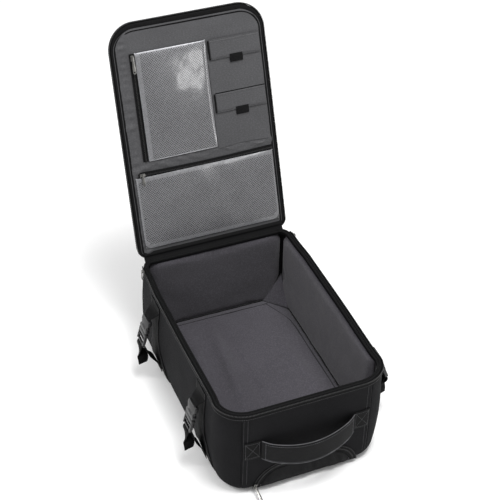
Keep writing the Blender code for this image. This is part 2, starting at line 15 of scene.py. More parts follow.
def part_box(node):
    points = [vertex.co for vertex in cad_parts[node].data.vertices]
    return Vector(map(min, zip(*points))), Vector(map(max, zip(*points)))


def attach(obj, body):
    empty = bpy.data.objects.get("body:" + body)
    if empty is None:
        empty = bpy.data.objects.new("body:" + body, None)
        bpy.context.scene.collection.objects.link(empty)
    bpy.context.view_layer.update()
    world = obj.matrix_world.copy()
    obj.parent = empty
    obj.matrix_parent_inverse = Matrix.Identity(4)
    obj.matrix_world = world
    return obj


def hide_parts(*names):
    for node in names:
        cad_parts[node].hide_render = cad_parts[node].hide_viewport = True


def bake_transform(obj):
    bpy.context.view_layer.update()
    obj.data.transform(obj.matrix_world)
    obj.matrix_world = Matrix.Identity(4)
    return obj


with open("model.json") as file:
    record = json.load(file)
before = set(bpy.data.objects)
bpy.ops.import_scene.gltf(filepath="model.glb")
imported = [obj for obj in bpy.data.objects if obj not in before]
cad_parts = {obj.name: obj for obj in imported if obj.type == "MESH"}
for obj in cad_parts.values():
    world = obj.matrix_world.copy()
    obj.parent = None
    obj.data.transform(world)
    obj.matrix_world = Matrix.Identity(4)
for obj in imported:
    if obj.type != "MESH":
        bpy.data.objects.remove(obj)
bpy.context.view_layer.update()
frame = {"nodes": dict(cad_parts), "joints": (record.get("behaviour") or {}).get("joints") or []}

bl_info = {
    "name": "Clamshell travel backpack",
    "version": (1, 0, 0),
    "blender": (4, 5, 0),
    "location": "3D View > Sidebar > Backpack",
    "description": "Builds an open clamshell travel backpack piece by piece",
    "category": "Object",
}

UP = Vector((0.0, 0.0, 1.0))
AHEAD = Vector((0.0, -1.0, 0.0))
MM = 0.001
SHELL_CLOTH = 1.4 * MM
TAPE_CLOTH = 1.2 * MM
PIPING = 0.0011
CLOTH_UV = "cloth"

# Tub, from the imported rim
RIM_LOW, RIM_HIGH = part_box("rim_binding")
HALF_X = RIM_HIGH.x
HEAD_Y = RIM_LOW.y
BASE_Y = RIM_HIGH.y
RIM_Z = RIM_HIGH.z
HEAD_RADIUS = 0.058
BASE_RADIUS = 0.028
FOOT_RADIUS = 0.024
HEAD_SEAM_DEG = 22.5
TUB_CENTRE = Vector((0.0, 0.0, RIM_Z / 2))
WALL_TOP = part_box("head_end_panel")[1].z
PAD_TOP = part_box("head_wall_pad")[1].z
PAD_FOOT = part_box("head_wall_pad")[0].z
FLOOR_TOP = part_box("floor_pad")[1].z
SIDE_FLARE = (
    (-0.264, 0.0075), (-0.222, 0.0065), (-0.185, 0.0040), (-0.02, 0.0055), (0.14, 0.0050), (0.21, 0.0015),
    (0.264, -0.001),
)
SIDE_BULGE = 0.007
HEAD_BULGE = 0.0018
PAD_LIFT = 0.0045
PAD_REACH = 0.014
GUSSET_FOOT_X = 0.114
GUSSET_LEGS = (0.072, 0.085)
GUSSET_TOP = Vector((0.165, 0.2505, 0.102))
FOOT_TUCK = 0.006
PAD_VOXEL = 0.005
PAD_PRESSURE = 4.0
CLOTH_FRAMES = 20
BACKED = 0.25

# Lid, from its hinge
HINGE = next(joint for joint in frame["joints"] if joint["name"] == "lid_hinge")
HINGE_AT = Vector(HINGE["pos_m"])
LID_OPEN = math.radians(-HINGE["range_deg"][0])
LID_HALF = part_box("lid_shell")[1].x
LID_START = 0.0006
LID_LENGTH = 0.526
LID_BASE_RADIUS = 0.018
LID_THICK = 0.0158
LID_HEAD_TAPER = 0.0025
LID_CROWN = 0.005
BORDER = 0.0130
HEAD_BORDER_EXTRA = 0.006
INNER_PIPING = -0.005
LID_COLUMNS = 240
POCKET_ROLL = 0.009
POCKET_ROLL_DEPTH = 0.0020
MESH_UPPER = (-0.125, 0.036, 0.221, 0.462)
MESH_LOWER = (-0.160, 0.163, 0.023, 0.187)
ZIP_UPPER = (-0.1375, -0.1255, 0.222, 0.462)
ZIP_LOWER = (-0.154, 0.165, 0.187, 0.200)
ORGANISER = (0.038, 0.164, 0.215, 0.430)
FLAP_X = (0.045, 0.163)
FLAP_TOPS = {"upper": 0.458, "lower": 0.339}
FLAP_DROP = 0.042
TAB_X = (0.089, 0.119)
TAB_DROP = 0.012

# Sliders
PIVOT_OUT = 0.0054
SLIDER_LENGTH = 0.012
SLIDER_WIDTH = 0.008
PULL_WIDTH = 0.0072

# Head end
HANDLE_PIVOT = Vector(next(j for j in frame["joints"] if j["name"] == "handle_swing")["pos_m"])
HANDLE_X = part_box("handle_sleeve")[1].x
HANDLE_WIDTH = 0.050
HANDLE_THICK = 0.006
HANDLE_BULGE = 0.027
HANDLE_SAG = 0.014
ARCH_HALF = 0.112
ARCH_RADIUS = 0.060
ARCH_FOOT_Z = 0.010
ARCH_TAPE = 0.0083

# Compression straps: side, place along the tub, looseness
STRAPS = {
    "left_far": (-1, 0.140, 1.0),
    "left_near": (-1, -0.140, 0.86),
    "right_far": (1, 0.140, 1.0),
    "right_near": (1, -0.140, 1.35),
}
WEBBING = 0.0016
SEWING_THREAD = 0.0007
STITCH_PITCH = 1.5
TOOTH_SIZE = (0.0011, 0.0034, 0.0014)
BUCKLE_TOP = (0.026, 0.174)
BUCKLE_FOOT = (0.044, 0.110)
BUCKLE_SPLIT = 0.034
BUCKLE_THICK = 0.009


# ---------------------------------------------------------------- settings

class BackpackColours(bpy.types.PropertyGroup):
    """Colours a user would change, as sRGB hex."""

    shell: bpy.props.StringProperty(
        name="Shell", description="Heather polyester outside", default="#101012")
    fleck: bpy.props.StringProperty(
        name="Fleck", description="Light threads in the heather", default="#222224")
    lining: bpy.props.StringProperty(
        name="Lining", description="Padded lining of the tub", default="#403e43")
    lid_lining: bpy.props.StringProperty(
        name="Lid lining", description="Thin lining of the lid", default="#3a3a3c")
    trim: bpy.props.StringProperty(
        name="Trim", description="Bindings, webbing and zip tapes", default="#060607")
    net: bpy.props.StringProperty(
        name="Net", description="Knitted mesh of the lid pockets", default="#c2c2c6")


class BackpackSizes(bpy.types.PropertyGroup):
    """Sizes a user would change."""

    net_cell: bpy.props.FloatProperty(
        name="Net cell", description="Side of one diamond of the mesh", default=0.0040, unit="LENGTH")
    pad_swell: bpy.props.FloatProperty(
        name="Pad swell", description="Most that a pad may swell", default=0.0045, unit="LENGTH")
    stitch: bpy.props.FloatProperty(
        name="Stitch", description="Length of one topstitch", default=0.0030, unit="LENGTH")
    tooth: bpy.props.FloatProperty(
        name="Zip tooth", description="Spacing of the zip's coil", default=0.0028, unit="LENGTH")


def colours():
    return bpy.context.scene.backpack_colours


def sizes():
    return bpy.context.scene.backpack_sizes


# ---------------------------------------------------------------- places

def clamped(share):
    """A share kept from 0 to 1."""
    return min(max(share, 0.0), 1.0)


def eased(knots, at):
    """A value read smoothly between (place, value) knots."""
    if at <= knots[0][0]:
        return knots[0][1]
    for (low, first), (high, second) in zip(knots, knots[1:]):
        if at <= high:
            share = (at - low) / (high - low)
            return first + (second - first) * share * share * (3 - 2 * share)
    return knots[-1][1]


def crumple(point, grain, seed=0.0):
    """Smooth noise from -1 to 1 at a place, with folds about one grain across."""
    return noise.noise(Vector(point) / grain + Vector((seed, seed * 1.7, seed * 0.6)))


def arc(centre, radius, start_deg, end_deg, steps):
    """Points (a, b) round part of a circle."""
    points = []
    for step in range(steps + 1):
        angle = math.radians(start_deg + (end_deg - start_deg) * step / steps)
        points.append((centre[0] + radius * math.cos(angle), centre[1] + radius * math.sin(angle)))
    return points


class Outline:
    """A rounded rectangle, walked counter-clockwise from the left end of its hinge side."""

    def __init__(self, half_x, head_y, base_y, head_radius, base_radius):
        quarter = math.pi / 2
        side = base_y - head_y - head_radius - base_radius
        place = Vector((base_radius - half_x, base_y, 0.0))
        angle = quarter
        start = 0.0
        self.legs = []
        for radius, run in (
            (base_radius, side),
            (head_radius, 2 * (half_x - head_radius)),
            (head_radius, side),
            (base_radius, 2 * (half_x - base_radius)),
        ):
            centre = place - Vector((math.cos(angle), math.sin(angle), 0.0)) * radius
            self.legs.append((start, radius, centre, angle))
            start += radius * quarter
            angle += quarter
            out = Vector((math.cos(angle), math.sin(angle), 0.0))
            place = centre + out * radius
            self.legs.append((start, 0.0, place, angle))
            place = place + UP.cross(out) * run
            start += run
        self.length = start
        self.corner_starts = [leg[0] for leg in self.legs]

    def at(self, distance):
        """The place at a distance along the outline, and the outward way there."""
        distance = min(max(distance, 0.0), self.length)
        start, radius, place, angle = [leg for leg in self.legs if leg[0] <= distance + 1e-9][-1]
        if radius:
            turned = angle + (distance - start) / radius
            out = Vector((math.cos(turned), math.sin(turned), 0.0))
            return place + out * radius, out
        out = Vector((math.cos(angle), math.sin(angle), 0.0))
        return place + UP.cross(out) * (distance - start), out


TUB = Outline(HALF_X, HEAD_Y, BASE_Y, HEAD_RADIUS, BASE_RADIUS)
HEAD_WALL, HEAD_RIGHT, BASE_WALL = (TUB.corner_starts[leg] for leg in (3, 4, 7))
HEAD_SEAM_RUN = math.radians(HEAD_SEAM_DEG) * HEAD_RADIUS
LID = Outline(LID_HALF, -LID_LENGTH, -LID_START, HEAD_RADIUS, LID_BASE_RADIUS)


def swell(place, out, z):
    """How far the soft tub stands out from its packed outline."""
    height = clamped(z / RIM_Z)
    flare = eased(SIDE_FLARE, place.y) * height
    bulge = SIDE_BULGE * math.sin(math.pi * height ** 0.8)
    tuck = FOOT_TUCK * (1 - height) ** 4
    side = out.x * out.x
    head = max(-out.y, 0.0) ** 2
    return side * (flare + bulge - tuck) + head * HEAD_BULGE * height


def tub_point(distance, z, proud=0.0):
    """A place on the tub's soft outer face."""
    place, out = TUB.at(distance)
    return place + out * (swell(place, out, z) + proud) + UP * z


def side_point(side, y, z, proud=0.0):
    """A place on the tub's left (-1) or right (1) wall."""
    place = Vector((side * HALF_X, y, 0.0))
    out = Vector((side, 0.0, 0.0))
    inset = 0.0
    if z < FOOT_RADIUS:
        inset = FOOT_RADIUS - math.sqrt(max(FOOT_RADIUS ** 2 - (FOOT_RADIUS - z) ** 2, 0.0))
    return place + out * (swell(place, out, z) + proud - inset) + UP * z


def on_lid(x, reach, out):
    """A place on the open lid: across it, up from its hinge, and out of its fabric side."""
    turn_cos, turn_sin = math.cos(LID_OPEN), math.sin(LID_OPEN)
    taper = 1 - LID_HEAD_TAPER / LID_HALF * clamped(reach / LID_LENGTH) ** 2
    place = Vector((x * taper, out * turn_sin - reach * turn_cos, reach * turn_sin + out * turn_cos))
    return HINGE_AT + place


LID_FACE_OUT = on_lid(0.0, 0.0, 1.0) - on_lid(0.0, 0.0, 0.0)
LID_REACH_WAY = on_lid(0.0, 1.0, 0.0) - on_lid(0.0, 0.0, 0.0)
BEHIND_LID = on_lid(0.0, LID_LENGTH / 2, 1.0)


def lid_half(reach, inset):
    """Half the lid's width at a reach from the hinge, at an inset from its edge."""
    half = LID_HALF - inset
    ends = ((LID_START + inset, LID_BASE_RADIUS - inset), (LID_LENGTH - inset, HEAD_RADIUS - inset))
    for end, radius in ends:
        depth = radius - abs(reach - end)
        if depth > 0:
            half -= radius - math.sqrt(max(radius * radius - depth * depth, 0.0))
    return half


# ---------------------------------------------------------------- meshes

def cloth_grid(columns, rows, place, size=(1.0, 1.0)):
    """A bmesh grid whose point (u, v), each from 0 to 1, goes where place says; its UV map is in metres."""
    bm = bmesh.new()
    uv = bm.loops.layers.uv.new(CLOTH_UV)
    bmesh.ops.create_grid(bm, x_segments=columns, y_segments=rows, size=0.5, calc_uvs=True)
    for face in bm.faces:
        for loop in face.loops:
            loop[uv].uv = (loop[uv].uv.x * size[0], loop[uv].uv.y * size[1])
    for vert in bm.verts:
        vert.co = place(vert.co.x + 0.5, vert.co.y + 0.5)
    bmesh.ops.remove_doubles(bm, verts=bm.verts, dist=1e-5)
    return bm


def between(place, start, end, steps):
    """Points of a sheet on the straight line between two of its (u, v) places."""
    (u0, v0), (u1, v1) = start, end
    return [place(u0 + (u1 - u0) * i / steps, v0 + (v1 - v0) * i / steps) for i in range(steps + 1)]


def capped(bm):
    """Close a skinned bmesh's open ends."""
    bmesh.ops.holes_fill(bm, edges=[edge for edge in bm.edges if edge.is_boundary], sides=0)
    return bm


def carried(profile, columns, place, size):
    """A closed profile of number pairs carried along; place(share, pair) gives each point."""
    sides = len(profile)
    return cloth_grid(columns, sides, lambda u, v: place(u, *profile[round(v * sides) % sides]), size)


def skinned(rings, size=(1.0, 1.0)):
    """A capped solid through rings of points, each ring closed on itself."""
    count, sides = len(rings) - 1, len(rings[0])

    def place(u, v):
        return rings[round(u * count)][round(v * sides) % sides]

    return capped(cloth_grid(count, sides, place, size))


def merged(parts):
    """One bmesh out of several."""
    bm = bmesh.new()
    bm.loops.layers.uv.new(CLOTH_UV)
    for part in parts:
        mesh = bpy.data.meshes.new("part")
        bmesh.ops.recalc_face_normals(part, faces=part.faces)
        part.to_mesh(mesh)
        part.free()
        bm.from_mesh(mesh)
        bpy.data.meshes.remove(mesh)
    return bm


def add_piece(name, bm, kind, body=None, node=None, slot=None, behind=None, wall=0.0, sharp_deg=45):
    """A finished piece from a bmesh and a kind of material; an open sheet looks away from what is behind."""
    bmesh.ops.recalc_face_normals(bm, faces=bm.faces)
    if behind is not None:
        turned = sum((f.calc_center_median() - behind).dot(f.normal) * f.calc_area() for f in bm.faces)
        if turned < 0:
            bmesh.ops.reverse_faces(bm, faces=bm.faces)
    mesh = bpy.data.meshes.new(name)
    bm.to_mesh(mesh)
    bm.free()
    mesh.shade_smooth()
    mesh.set_sharp_from_angle(angle=math.radians(sharp_deg))
    mesh.materials.append(made_of(kind))
    piece = bpy.data.objects.new(name, mesh)
    bpy.context.scene.collection.objects.link(piece)
    if wall:
        thickness = piece.modifiers.new("cloth thickness", "SOLIDIFY")
        thickness.thickness = wall
        thickness.offset = -1.0
    if body:
        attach(piece, body)
    if node:
        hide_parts(node)
    slot = slot or SLOTS.get(kind)
    return piece


def rounded_box(bm, matrix, size, edge, segments=2):
    """Add a box with bevelled edges to a bmesh."""
    made = bmesh.ops.create_cube(bm, size=1.0, matrix=matrix @ Matrix.Diagonal((*size, 1.0)))
    edges = list({item for vert in made["verts"] for item in vert.link_edges})
    bmesh.ops.bevel(
        bm, geom=edges, offset=edge, offset_type="OFFSET", segments=segments, profile=0.5,
        affect="EDGES", clamp_overlap=True, material=-1,
    )


def facing(origin, along, out):
    """A matrix whose X runs along and whose Z looks out."""
    along = along.normalized()
    out = (out - along * out.dot(along)).normalized()
    matrix = Matrix((along, out.cross(along), out)).transposed().to_4x4()
    matrix.translation = origin
    return matrix


def smooth_path(points, steps):
    """Points along a smooth curve through number tuples of any length."""
    path = []
    last = len(points) - 1
    for index in range(last):
        before = points[max(index - 1, 0)]
        first = points[index]
        second = points[index + 1]
        after = points[min(index + 2, last)]
        for step in range(steps):
            t = step / steps
            path.append(tuple(
                0.5 * (
                    2 * b + (c - a) * t + (2 * a - 5 * b + 4 * c - d) * t * t
                    + (3 * b - a - 3 * c + d) * t ** 3)
                for a, b, c, d in zip(before, first, second, after)
            ))
    path.append(tuple(points[-1]))
    return path


def ribbon(points, across, thickness=WEBBING, steps=6):
    """Flat webbing along (x, y, z, width, twist in degrees) points; across is its width's way untwisted."""
    path = smooth_path(points, steps)
    count = len(path) - 1
    lower = [(-0.5, -0.25), (-0.48, -0.5), (0.48, -0.5), (0.5, -0.25)]
    section = lower + [(a, -b) for a, b in reversed(lower)]
    rings = []
    length = 0.0
    for index, (x, y, z, width, twist) in enumerate(path):
        before = Vector(path[max(index - 1, 0)][:3])
        after = Vector(path[min(index + 1, count)][:3])
        way = (after - before).normalized()
        wide = (across - way * across.dot(way)).normalized()
        wide = Matrix.Rotation(math.radians(twist), 3, way) @ wide
        thick = way.cross(wide)
        rings.append([Vector((x, y, z)) + wide * a * width + thick * b * thickness for a, b in section])
        length += (Vector((x, y, z)) - before).length
    return skinned(rings, (length, 2 * points[0][3]))


def tube(points, radius, steps=6, sides=8):
    """A round cord of cloth through (x, y, z) points: piping or a bead."""
    path = [Vector(point) for point in smooth_path(points, steps)]
    count = len(path) - 1
    rings = []
    for index, point in enumerate(path):
        way = (path[min(index + 1, count)] - path[max(index - 1, 0)]).normalized()
        wide = way.orthogonal().normalized() if index == 0 else (wide - way * wide.dot(way)).normalized()
        thick = way.cross(wide)
        rings.append([point + (wide * math.cos(a) + thick * math.sin(a)) * radius
                      for a in [2 * math.pi * side / sides for side in range(sides)]])
    return skinned(rings)


def beads(runs, size, pitch):
    """One small box after another along runs of (place, outward way) pairs."""
    bm = bmesh.new()
    bm.loops.layers.uv.new(CLOTH_UV)
    for run in runs:
        left = 0.0
        for (first, out), (second, _) in zip(run, run[1:]):
            gap = (second - first).length
            way = (second - first) / gap
            while left < gap:
                matrix = facing(first + way * left, way, out)
                bmesh.ops.create_cube(bm, size=1.0, matrix=matrix @ Matrix.Diagonal((*size, 1.0)))
                left += pitch
            left -= gap
    return bm


def stitches(runs):
    """Topstitching: one short thread after another."""
    length = sizes().stitch
    return beads(runs, (length, SEWING_THREAD, SEWING_THREAD * 0.6), length * STITCH_PITCH)


def coil(run, tooth_size=TOOTH_SIZE):
    """A zip's coil: teeth across a run."""
    return beads([run], tooth_size, sizes().tooth)


# ---------------------------------------------------------------- materials

def srgb(code):
    """An sRGB hex colour as linear RGBA."""
    values = [int(code[at:at + 2], 16) / 255 for at in (1, 3, 5)]
    return (*[v / 12.92 if v <= 0.04045 else ((v + 0.055) / 1.055) ** 2.4 for v in values], 1.0)


def add_node(tree, kind, settings=None, values=None, links=None):
    """Add a node with its settings, its sockets' values and its incoming links."""
    item = tree.nodes.new(kind)
    for key, value in (settings or {}).items():
        setattr(item, key, value)
    for key, value in (values or {}).items():
        item.inputs[key].default_value = value
    for key, source in (links or {}).items():
        tree.links.new(source, item.inputs[key])
    return item


def band_scale(spacing):
    """The scale that gives a wave texture one band every so many metres."""
    return 0.1 * math.pi / spacing


def surface(name, values):
    """A new material, its node tree and its shader, with the shader's own constants set."""
    material = bpy.data.materials.new(name)
    material.use_nodes = True
    shader = material.node_tree.nodes["Principled BSDF"]
    for key, value in values.items():
        shader.inputs[key].default_value = value
    return material, material.node_tree, shader


def woven(name, base, fleck, thread, fleck_size, coordinates="UV", roughness=0.85, sheen=0.1, relief=0.0003,
          specular=0.25, blotch=0.12, ribs=False, fleck_from=0.45):
    """Cloth: crossed threads with lighter ones among them, painted shade in the weave's hollows, soft patches
    of wear, and the weave's relief.
    """
    material, tree, shader = surface(name, {
        "Specular IOR Level": specular, "Sheen Weight": sheen, "Sheen Roughness": 0.5,
    })
    where = add_node(tree, "ShaderNodeTexCoord").outputs[coordinates]
    skew = (1.0, 1.0, 1.0) if coordinates == "UV" else (1.0, -0.6, -1.7)
    turned = add_node(tree, "ShaderNodeMapping", values={"Scale": skew}, links={"Vector": where}).outputs[0]
    first, second = ("X", "Y") if coordinates == "UV" else ("DIAGONAL", "DIAGONAL")
    warp = add_node(
        tree, "ShaderNodeTexWave", {"wave_type": "BANDS", "bands_direction": first},
        {"Scale": band_scale(thread), "Distortion": 0.6, "Detail": 1.0}, {"Vector": where}).outputs["Fac"]
    weft = add_node(
        tree, "ShaderNodeTexWave", {"wave_type": "BANDS", "bands_direction": second},
        {"Scale": band_scale(thread), "Distortion": 0.6, "Detail": 1.0}, {"Vector": turned}).outputs["Fac"]
    crossed = add_node(tree, "ShaderNodeMath", {"operation": "MAXIMUM"}, links={0: warp, 1: weft}).outputs[0]
    weave = warp if ribs else crossed
    stretched = add_node(
        tree, "ShaderNodeMapping", values={"Scale": tuple(1 / size for size in fleck_size)},
        links={"Vector": where}).outputs[0]
    grain = add_node(
        tree, "ShaderNodeTexNoise", values={"Scale": 1.0, "Detail": 3.0, "Roughness": 0.6},
        links={"Vector": stretched}).outputs["Fac"]
    ramp = add_node(tree, "ShaderNodeValToRGB", links={"Fac": grain})
    ramp.color_ramp.elements[0].position = fleck_from
    ramp.color_ramp.elements[0].color = srgb(base)
    ramp.color_ramp.elements[1].position = fleck_from + 0.22
    ramp.color_ramp.elements[1].color = srgb(fleck)
    # Painted shade and highlight: the colour darkens in the weave's hollows and lightens a little on its
    # crowns.
    shade = add_node(
        tree, "ShaderNodeMapRange", values={"To Min": 0.62, "To Max": 1.06},
        links={"Value": weave}).outputs[0]
    # The fleck colour, with that painted shade of the weave multiplied in.
    threads = add_node(
        tree, "ShaderNodeMix", {"data_type": "RGBA", "blend_type": "MULTIPLY"}, {0: 1.0},
        {6: ramp.outputs["Color"], 7: shade}).outputs[2]
    patches = add_node(
        tree, "ShaderNodeTexNoise", values={"Scale": 14.0, "Detail": 2.0},
        links={"Vector": where}).outputs["Fac"]
    wear = add_node(
        tree, "ShaderNodeMapRange",
        values={"From Min": 0.3, "From Max": 0.7, "To Min": 1 - blotch, "To Max": 1 + blotch},
        links={"Value": patches}).outputs[0]
    colour = add_node(
        tree, "ShaderNodeMix", {"data_type": "RGBA", "blend_type": "MULTIPLY"}, {0: 1.0},
        {6: threads, 7: wear}).outputs[2]
    gloss = add_node(
        tree, "ShaderNodeMapRange", values={"To Min": roughness + 0.08, "To Max": roughness - 0.08},
        links={"Value": grain}).outputs[0]
    height = add_node(tree, "ShaderNodeMath", {"operation": "ADD"}, links={0: weave, 1: grain}).outputs[0]
    bump = add_node(
        tree, "ShaderNodeBump", values={"Strength": 0.8, "Distance": relief},
        links={"Height": height}).outputs[0]
    tree.links.new(colour, shader.inputs["Base Color"])
    tree.links.new(gloss, shader.inputs["Roughness"])
    tree.links.new(bump, shader.inputs["Normal"])
    return material


def heather_polyester():
    """600D melange polyester, plain woven: charcoal with paler threads in short dashes up and across."""
    return woven(
        "heather_polyester_woven", colours().shell, colours().fleck,
        thread=1.5 * MM,  # real 0.6 mm, drawn coarser
        fleck_size=(2.6 * MM, 1.3 * MM, 2.0 * MM), roughness=0.88, sheen=0.0, relief=0.25 * MM, specular=0.12,
        fleck_from=0.50)


def brushed_lining():
    """Tricot-faced foam lining, brushed: a soft violet-grey with a faint diagonal knit."""
    return woven(
        "tricot_lining_brushed", colours().lining, "#4d4b51", thread=1.4 * MM,  # real 0.5 mm, drawn coarser
        fleck_size=(3.0 * MM,) * 3, coordinates="Object", roughness=0.9, sheen=0.22, relief=0.12 * MM,
        specular=0.15, blotch=0.05)


def thin_lining():
    """210D nylon lining, plain woven and calendered: mid grey, a little shiny, with fine cross threads."""
    return woven(
        "nylon_lining_calendered", colours().lid_lining, "#48484a",
        thread=1.3 * MM,  # real 0.3 mm, drawn coarser
        fleck_size=(4.0 * MM, 2.0 * MM, 3.0 * MM), roughness=0.62, sheen=0.05, relief=0.08 * MM,
        specular=0.35, blotch=0.08)


def ballistic_nylon():
    """1680D nylon, basket woven: near black with a dry shine on the crowns of its threads."""
    return woven(
        "nylon_basket_woven", "#0b0b0c", "#18181a", thread=1.7 * MM, fleck_size=(2.0 * MM,) * 3,
        roughness=0.7, sheen=0.0, relief=0.2 * MM, specular=0.14, blotch=0.1, fleck_from=0.48)


def grosgrain():
    """Polypropylene webbing and binding tape, ribbed: matt black with fine ribs across its width."""
    return woven(
        "polypropylene_webbing_ribbed", colours().trim, "#0e0e0f", thread=1.8 * MM,
        fleck_size=(3.0 * MM, 1.0 * MM, 2.0 * MM), roughness=0.72, sheen=0.0, relief=0.25 * MM, specular=0.12,
        blotch=0.15, ribs=True)


def dark_binding_and_seam_shade():
    """Folded twill binding between the piping: charcoal, one step lighter than the tape beside it. The same
    charcoal draws the lining's seam cords, where it is partly painted shade.
    """
    return woven(
        "twill_binding_and_painted_seam_shade", "#1c1c1e", "#28282a", thread=1.5 * MM,
        fleck_size=(3.0 * MM, 1.5 * MM, 2.0 * MM), roughness=0.8, relief=0.15 * MM)


def knitted_net():
    """Warp-knitted polyester net: pale grey yarn with a soft shine."""
    return knit("polyester_net_knitted", "#98989c", colours().net)


def knitted_band():
    """Warp-knitted edge of the same yarn without holes: paler, as no dark lining shows through it."""
    return knit("polyester_selvedge_knitted", "#98989c", "#c6c6ca")


def knit(name, base, light):
    """Looped yarn: two tones and a soft relief."""
    return speckled(
        name, {"Specular IOR Level": 0.4, "Sheen Weight": 0.2}, (base, light), (0.3, 0.7), (420.0, 2.0), None,
        (0.65, 0.45), (0.6, 0.2 * MM))


def speckled(name, constants, tones, stops, grain, rub, rough, relief):
    """Two tones in fine or broader rubbed spots, over a grain that varies the gloss and stands out."""
    material, tree, shader = surface(name, constants)
    where = add_node(tree, "ShaderNodeTexCoord").outputs["Object"]
    grains = add_node(
        tree, "ShaderNodeTexNoise", values={"Scale": grain[0], "Detail": grain[1]}, links={"Vector": where},
    ).outputs["Fac"]
    spots = grains
    if rub:
        spots = add_node(
            tree, "ShaderNodeTexNoise", values={"Scale": rub, "Detail": 2.0}, links={"Vector": where},
        ).outputs["Fac"]
    ramp = add_node(tree, "ShaderNodeValToRGB", links={"Fac": spots})
    for element, stop, tone in zip(ramp.color_ramp.elements, stops, tones):
        element.position = stop
        element.color = srgb(tone)
    gloss = add_node(
        tree, "ShaderNodeMapRange", values={"To Min": rough[0], "To Max": rough[1]},
        links={"Value": grains}).outputs[0]
    bump = add_node(
        tree, "ShaderNodeBump", values={"Strength": relief[0], "Distance": relief[1]},
        links={"Height": grains}).outputs[0]
    tree.links.new(ramp.outputs["Color"], shader.inputs["Base Color"])
    tree.links.new(gloss, shader.inputs["Roughness"])
    tree.links.new(bump, shader.inputs["Normal"])
    return material


def clear_film():
    """Soft PVC film, calendered: clear, with a slight haze and bright wrinkles where it mirrors a lamp."""
    material, tree, shader = surface("pvc_film_calendered", {"IOR": 1.53, "Base Color": srgb("#d9dade")})
    where = add_node(tree, "ShaderNodeTexCoord").outputs["Object"]
    ripple = add_node(
        tree, "ShaderNodeTexNoise", values={"Scale": 38.0, "Detail": 2.0},
        links={"Vector": where}).outputs["Fac"]
    bump = add_node(
        tree, "ShaderNodeBump", values={"Strength": 0.5, "Distance": 1.2 * MM},
        links={"Height": ripple}).outputs[0]
    haze = add_node(
        tree, "ShaderNodeMapRange", values={"To Min": 0.02, "To Max": 0.09},
        links={"Value": ripple}).outputs[0]
    rough = add_node(
        tree, "ShaderNodeMapRange", values={"To Min": 0.12, "To Max": 0.24},
        links={"Value": ripple}).outputs[0]
    tree.links.new(haze, shader.inputs["Alpha"])
    tree.links.new(rough, shader.inputs["Roughness"])
    tree.links.new(bump, shader.inputs["Normal"])
    mirror = add_node(
        tree, "ShaderNodeBsdfAnisotropic", values={"Color": (1.0, 1.0, 1.0, 1.0), "Roughness": 0.2},
        links={"Normal": bump}).outputs[0]
    fresnel = add_node(tree, "ShaderNodeFresnel", values={"IOR": 1.53}, links={"Normal": bump}).outputs[0]
    both = add_node(
        tree, "ShaderNodeMixShader", links={0: fresnel, 1: shader.outputs[0], 2: mirror}).outputs[0]
    tree.links.new(both, tree.nodes["Material Output"].inputs["Surface"])
    return material


def nickel_plate():
    """Die-cast zinc, nickel plated and tumbled: bright grey metal with a soft, slightly uneven shine."""
    return speckled(
        "zinc_nickel_plated", {"Metallic": 1.0}, ("#626260", "#8b8a87"), (0.0, 1.0), (900.0, 3.0), None,
        (0.2, 0.38), (0.3, 0.05 * MM))


def moulded(name, base, light, roughness, grain_size):
    """Injection-moulded plastic: one tone with a spark-eroded grain and paler, rubbed high spots."""
    return speckled(
        name, {"IOR": 1.48}, (base, light), (0.4, 0.75), (1 / grain_size, 2.0), 60.0,
        (roughness - 0.08, roughness + 0.1), (0.4, 0.1 * MM))


def acetal():
    """Acetal buckle, injection moulded: black with a low, waxy shine."""
    return moulded("acetal_moulded", "#070708", "#161619", 0.42, 0.9 * MM)


def stiffener():
    """High-density polyethylene sheet, extruded: dull dark grey."""
    return moulded("polyethylene_sheet_extruded", "#2b2b2d", "#353537", 0.6, 2.5 * MM)


def polyester_thread(name, base, light):
    """Bonded polyester sewing thread, twisted: a fine rope that catches a little light."""
    return moulded(name, base, light, 0.6, 0.8 * MM)


MATERIALS = {}
SLOTS = {
    "shell": "heather", "lining": "lining", "lid_lining": "lid_lining", "nylon": "dark_fabric",
    "plastic": "plastic", "nickel": "nickel",
    **dict.fromkeys(("trim", "binding", "teeth"), "black_trim"),
    **dict.fromkeys(("net", "band", "film"), "mesh"),
}


def made_of(kind):
    """A material by its short name, made once."""
    if kind not in MATERIALS:
        MATERIALS[kind] = {
            "shell": heather_polyester,
            "lining": brushed_lining,
            "lid_lining": thin_lining,
            "nylon": ballistic_nylon,
            "trim": grosgrain,
            "binding": dark_binding_and_seam_shade,
            "net": knitted_net,
            "band": knitted_band,
            "film": clear_film,
            "nickel": nickel_plate,
            "plastic": acetal,
            "board": stiffener,
            "thread": lambda: polyester_thread("polyester_thread_charcoal", "#2c2c2e", "#434346"),
            # Pale thread: the handle's stitching, and its edge cords, where the paleness is a painted
            # highlight.
            "pale_thread_and_edge_highlight": lambda: polyester_thread("polyester_thread_grey_and_painted_highlight", "#3a3a3d", "#545458"),
            "teeth": lambda: moulded("polyester_zip_coil_heat_set", "#0e0e0f", "#1a1a1b", 0.4, 0.7 * MM),
        }[kind]()
    return MATERIALS[kind]


# ---------------------------------------------------------------- tub

RIM_COLUMNS = 260


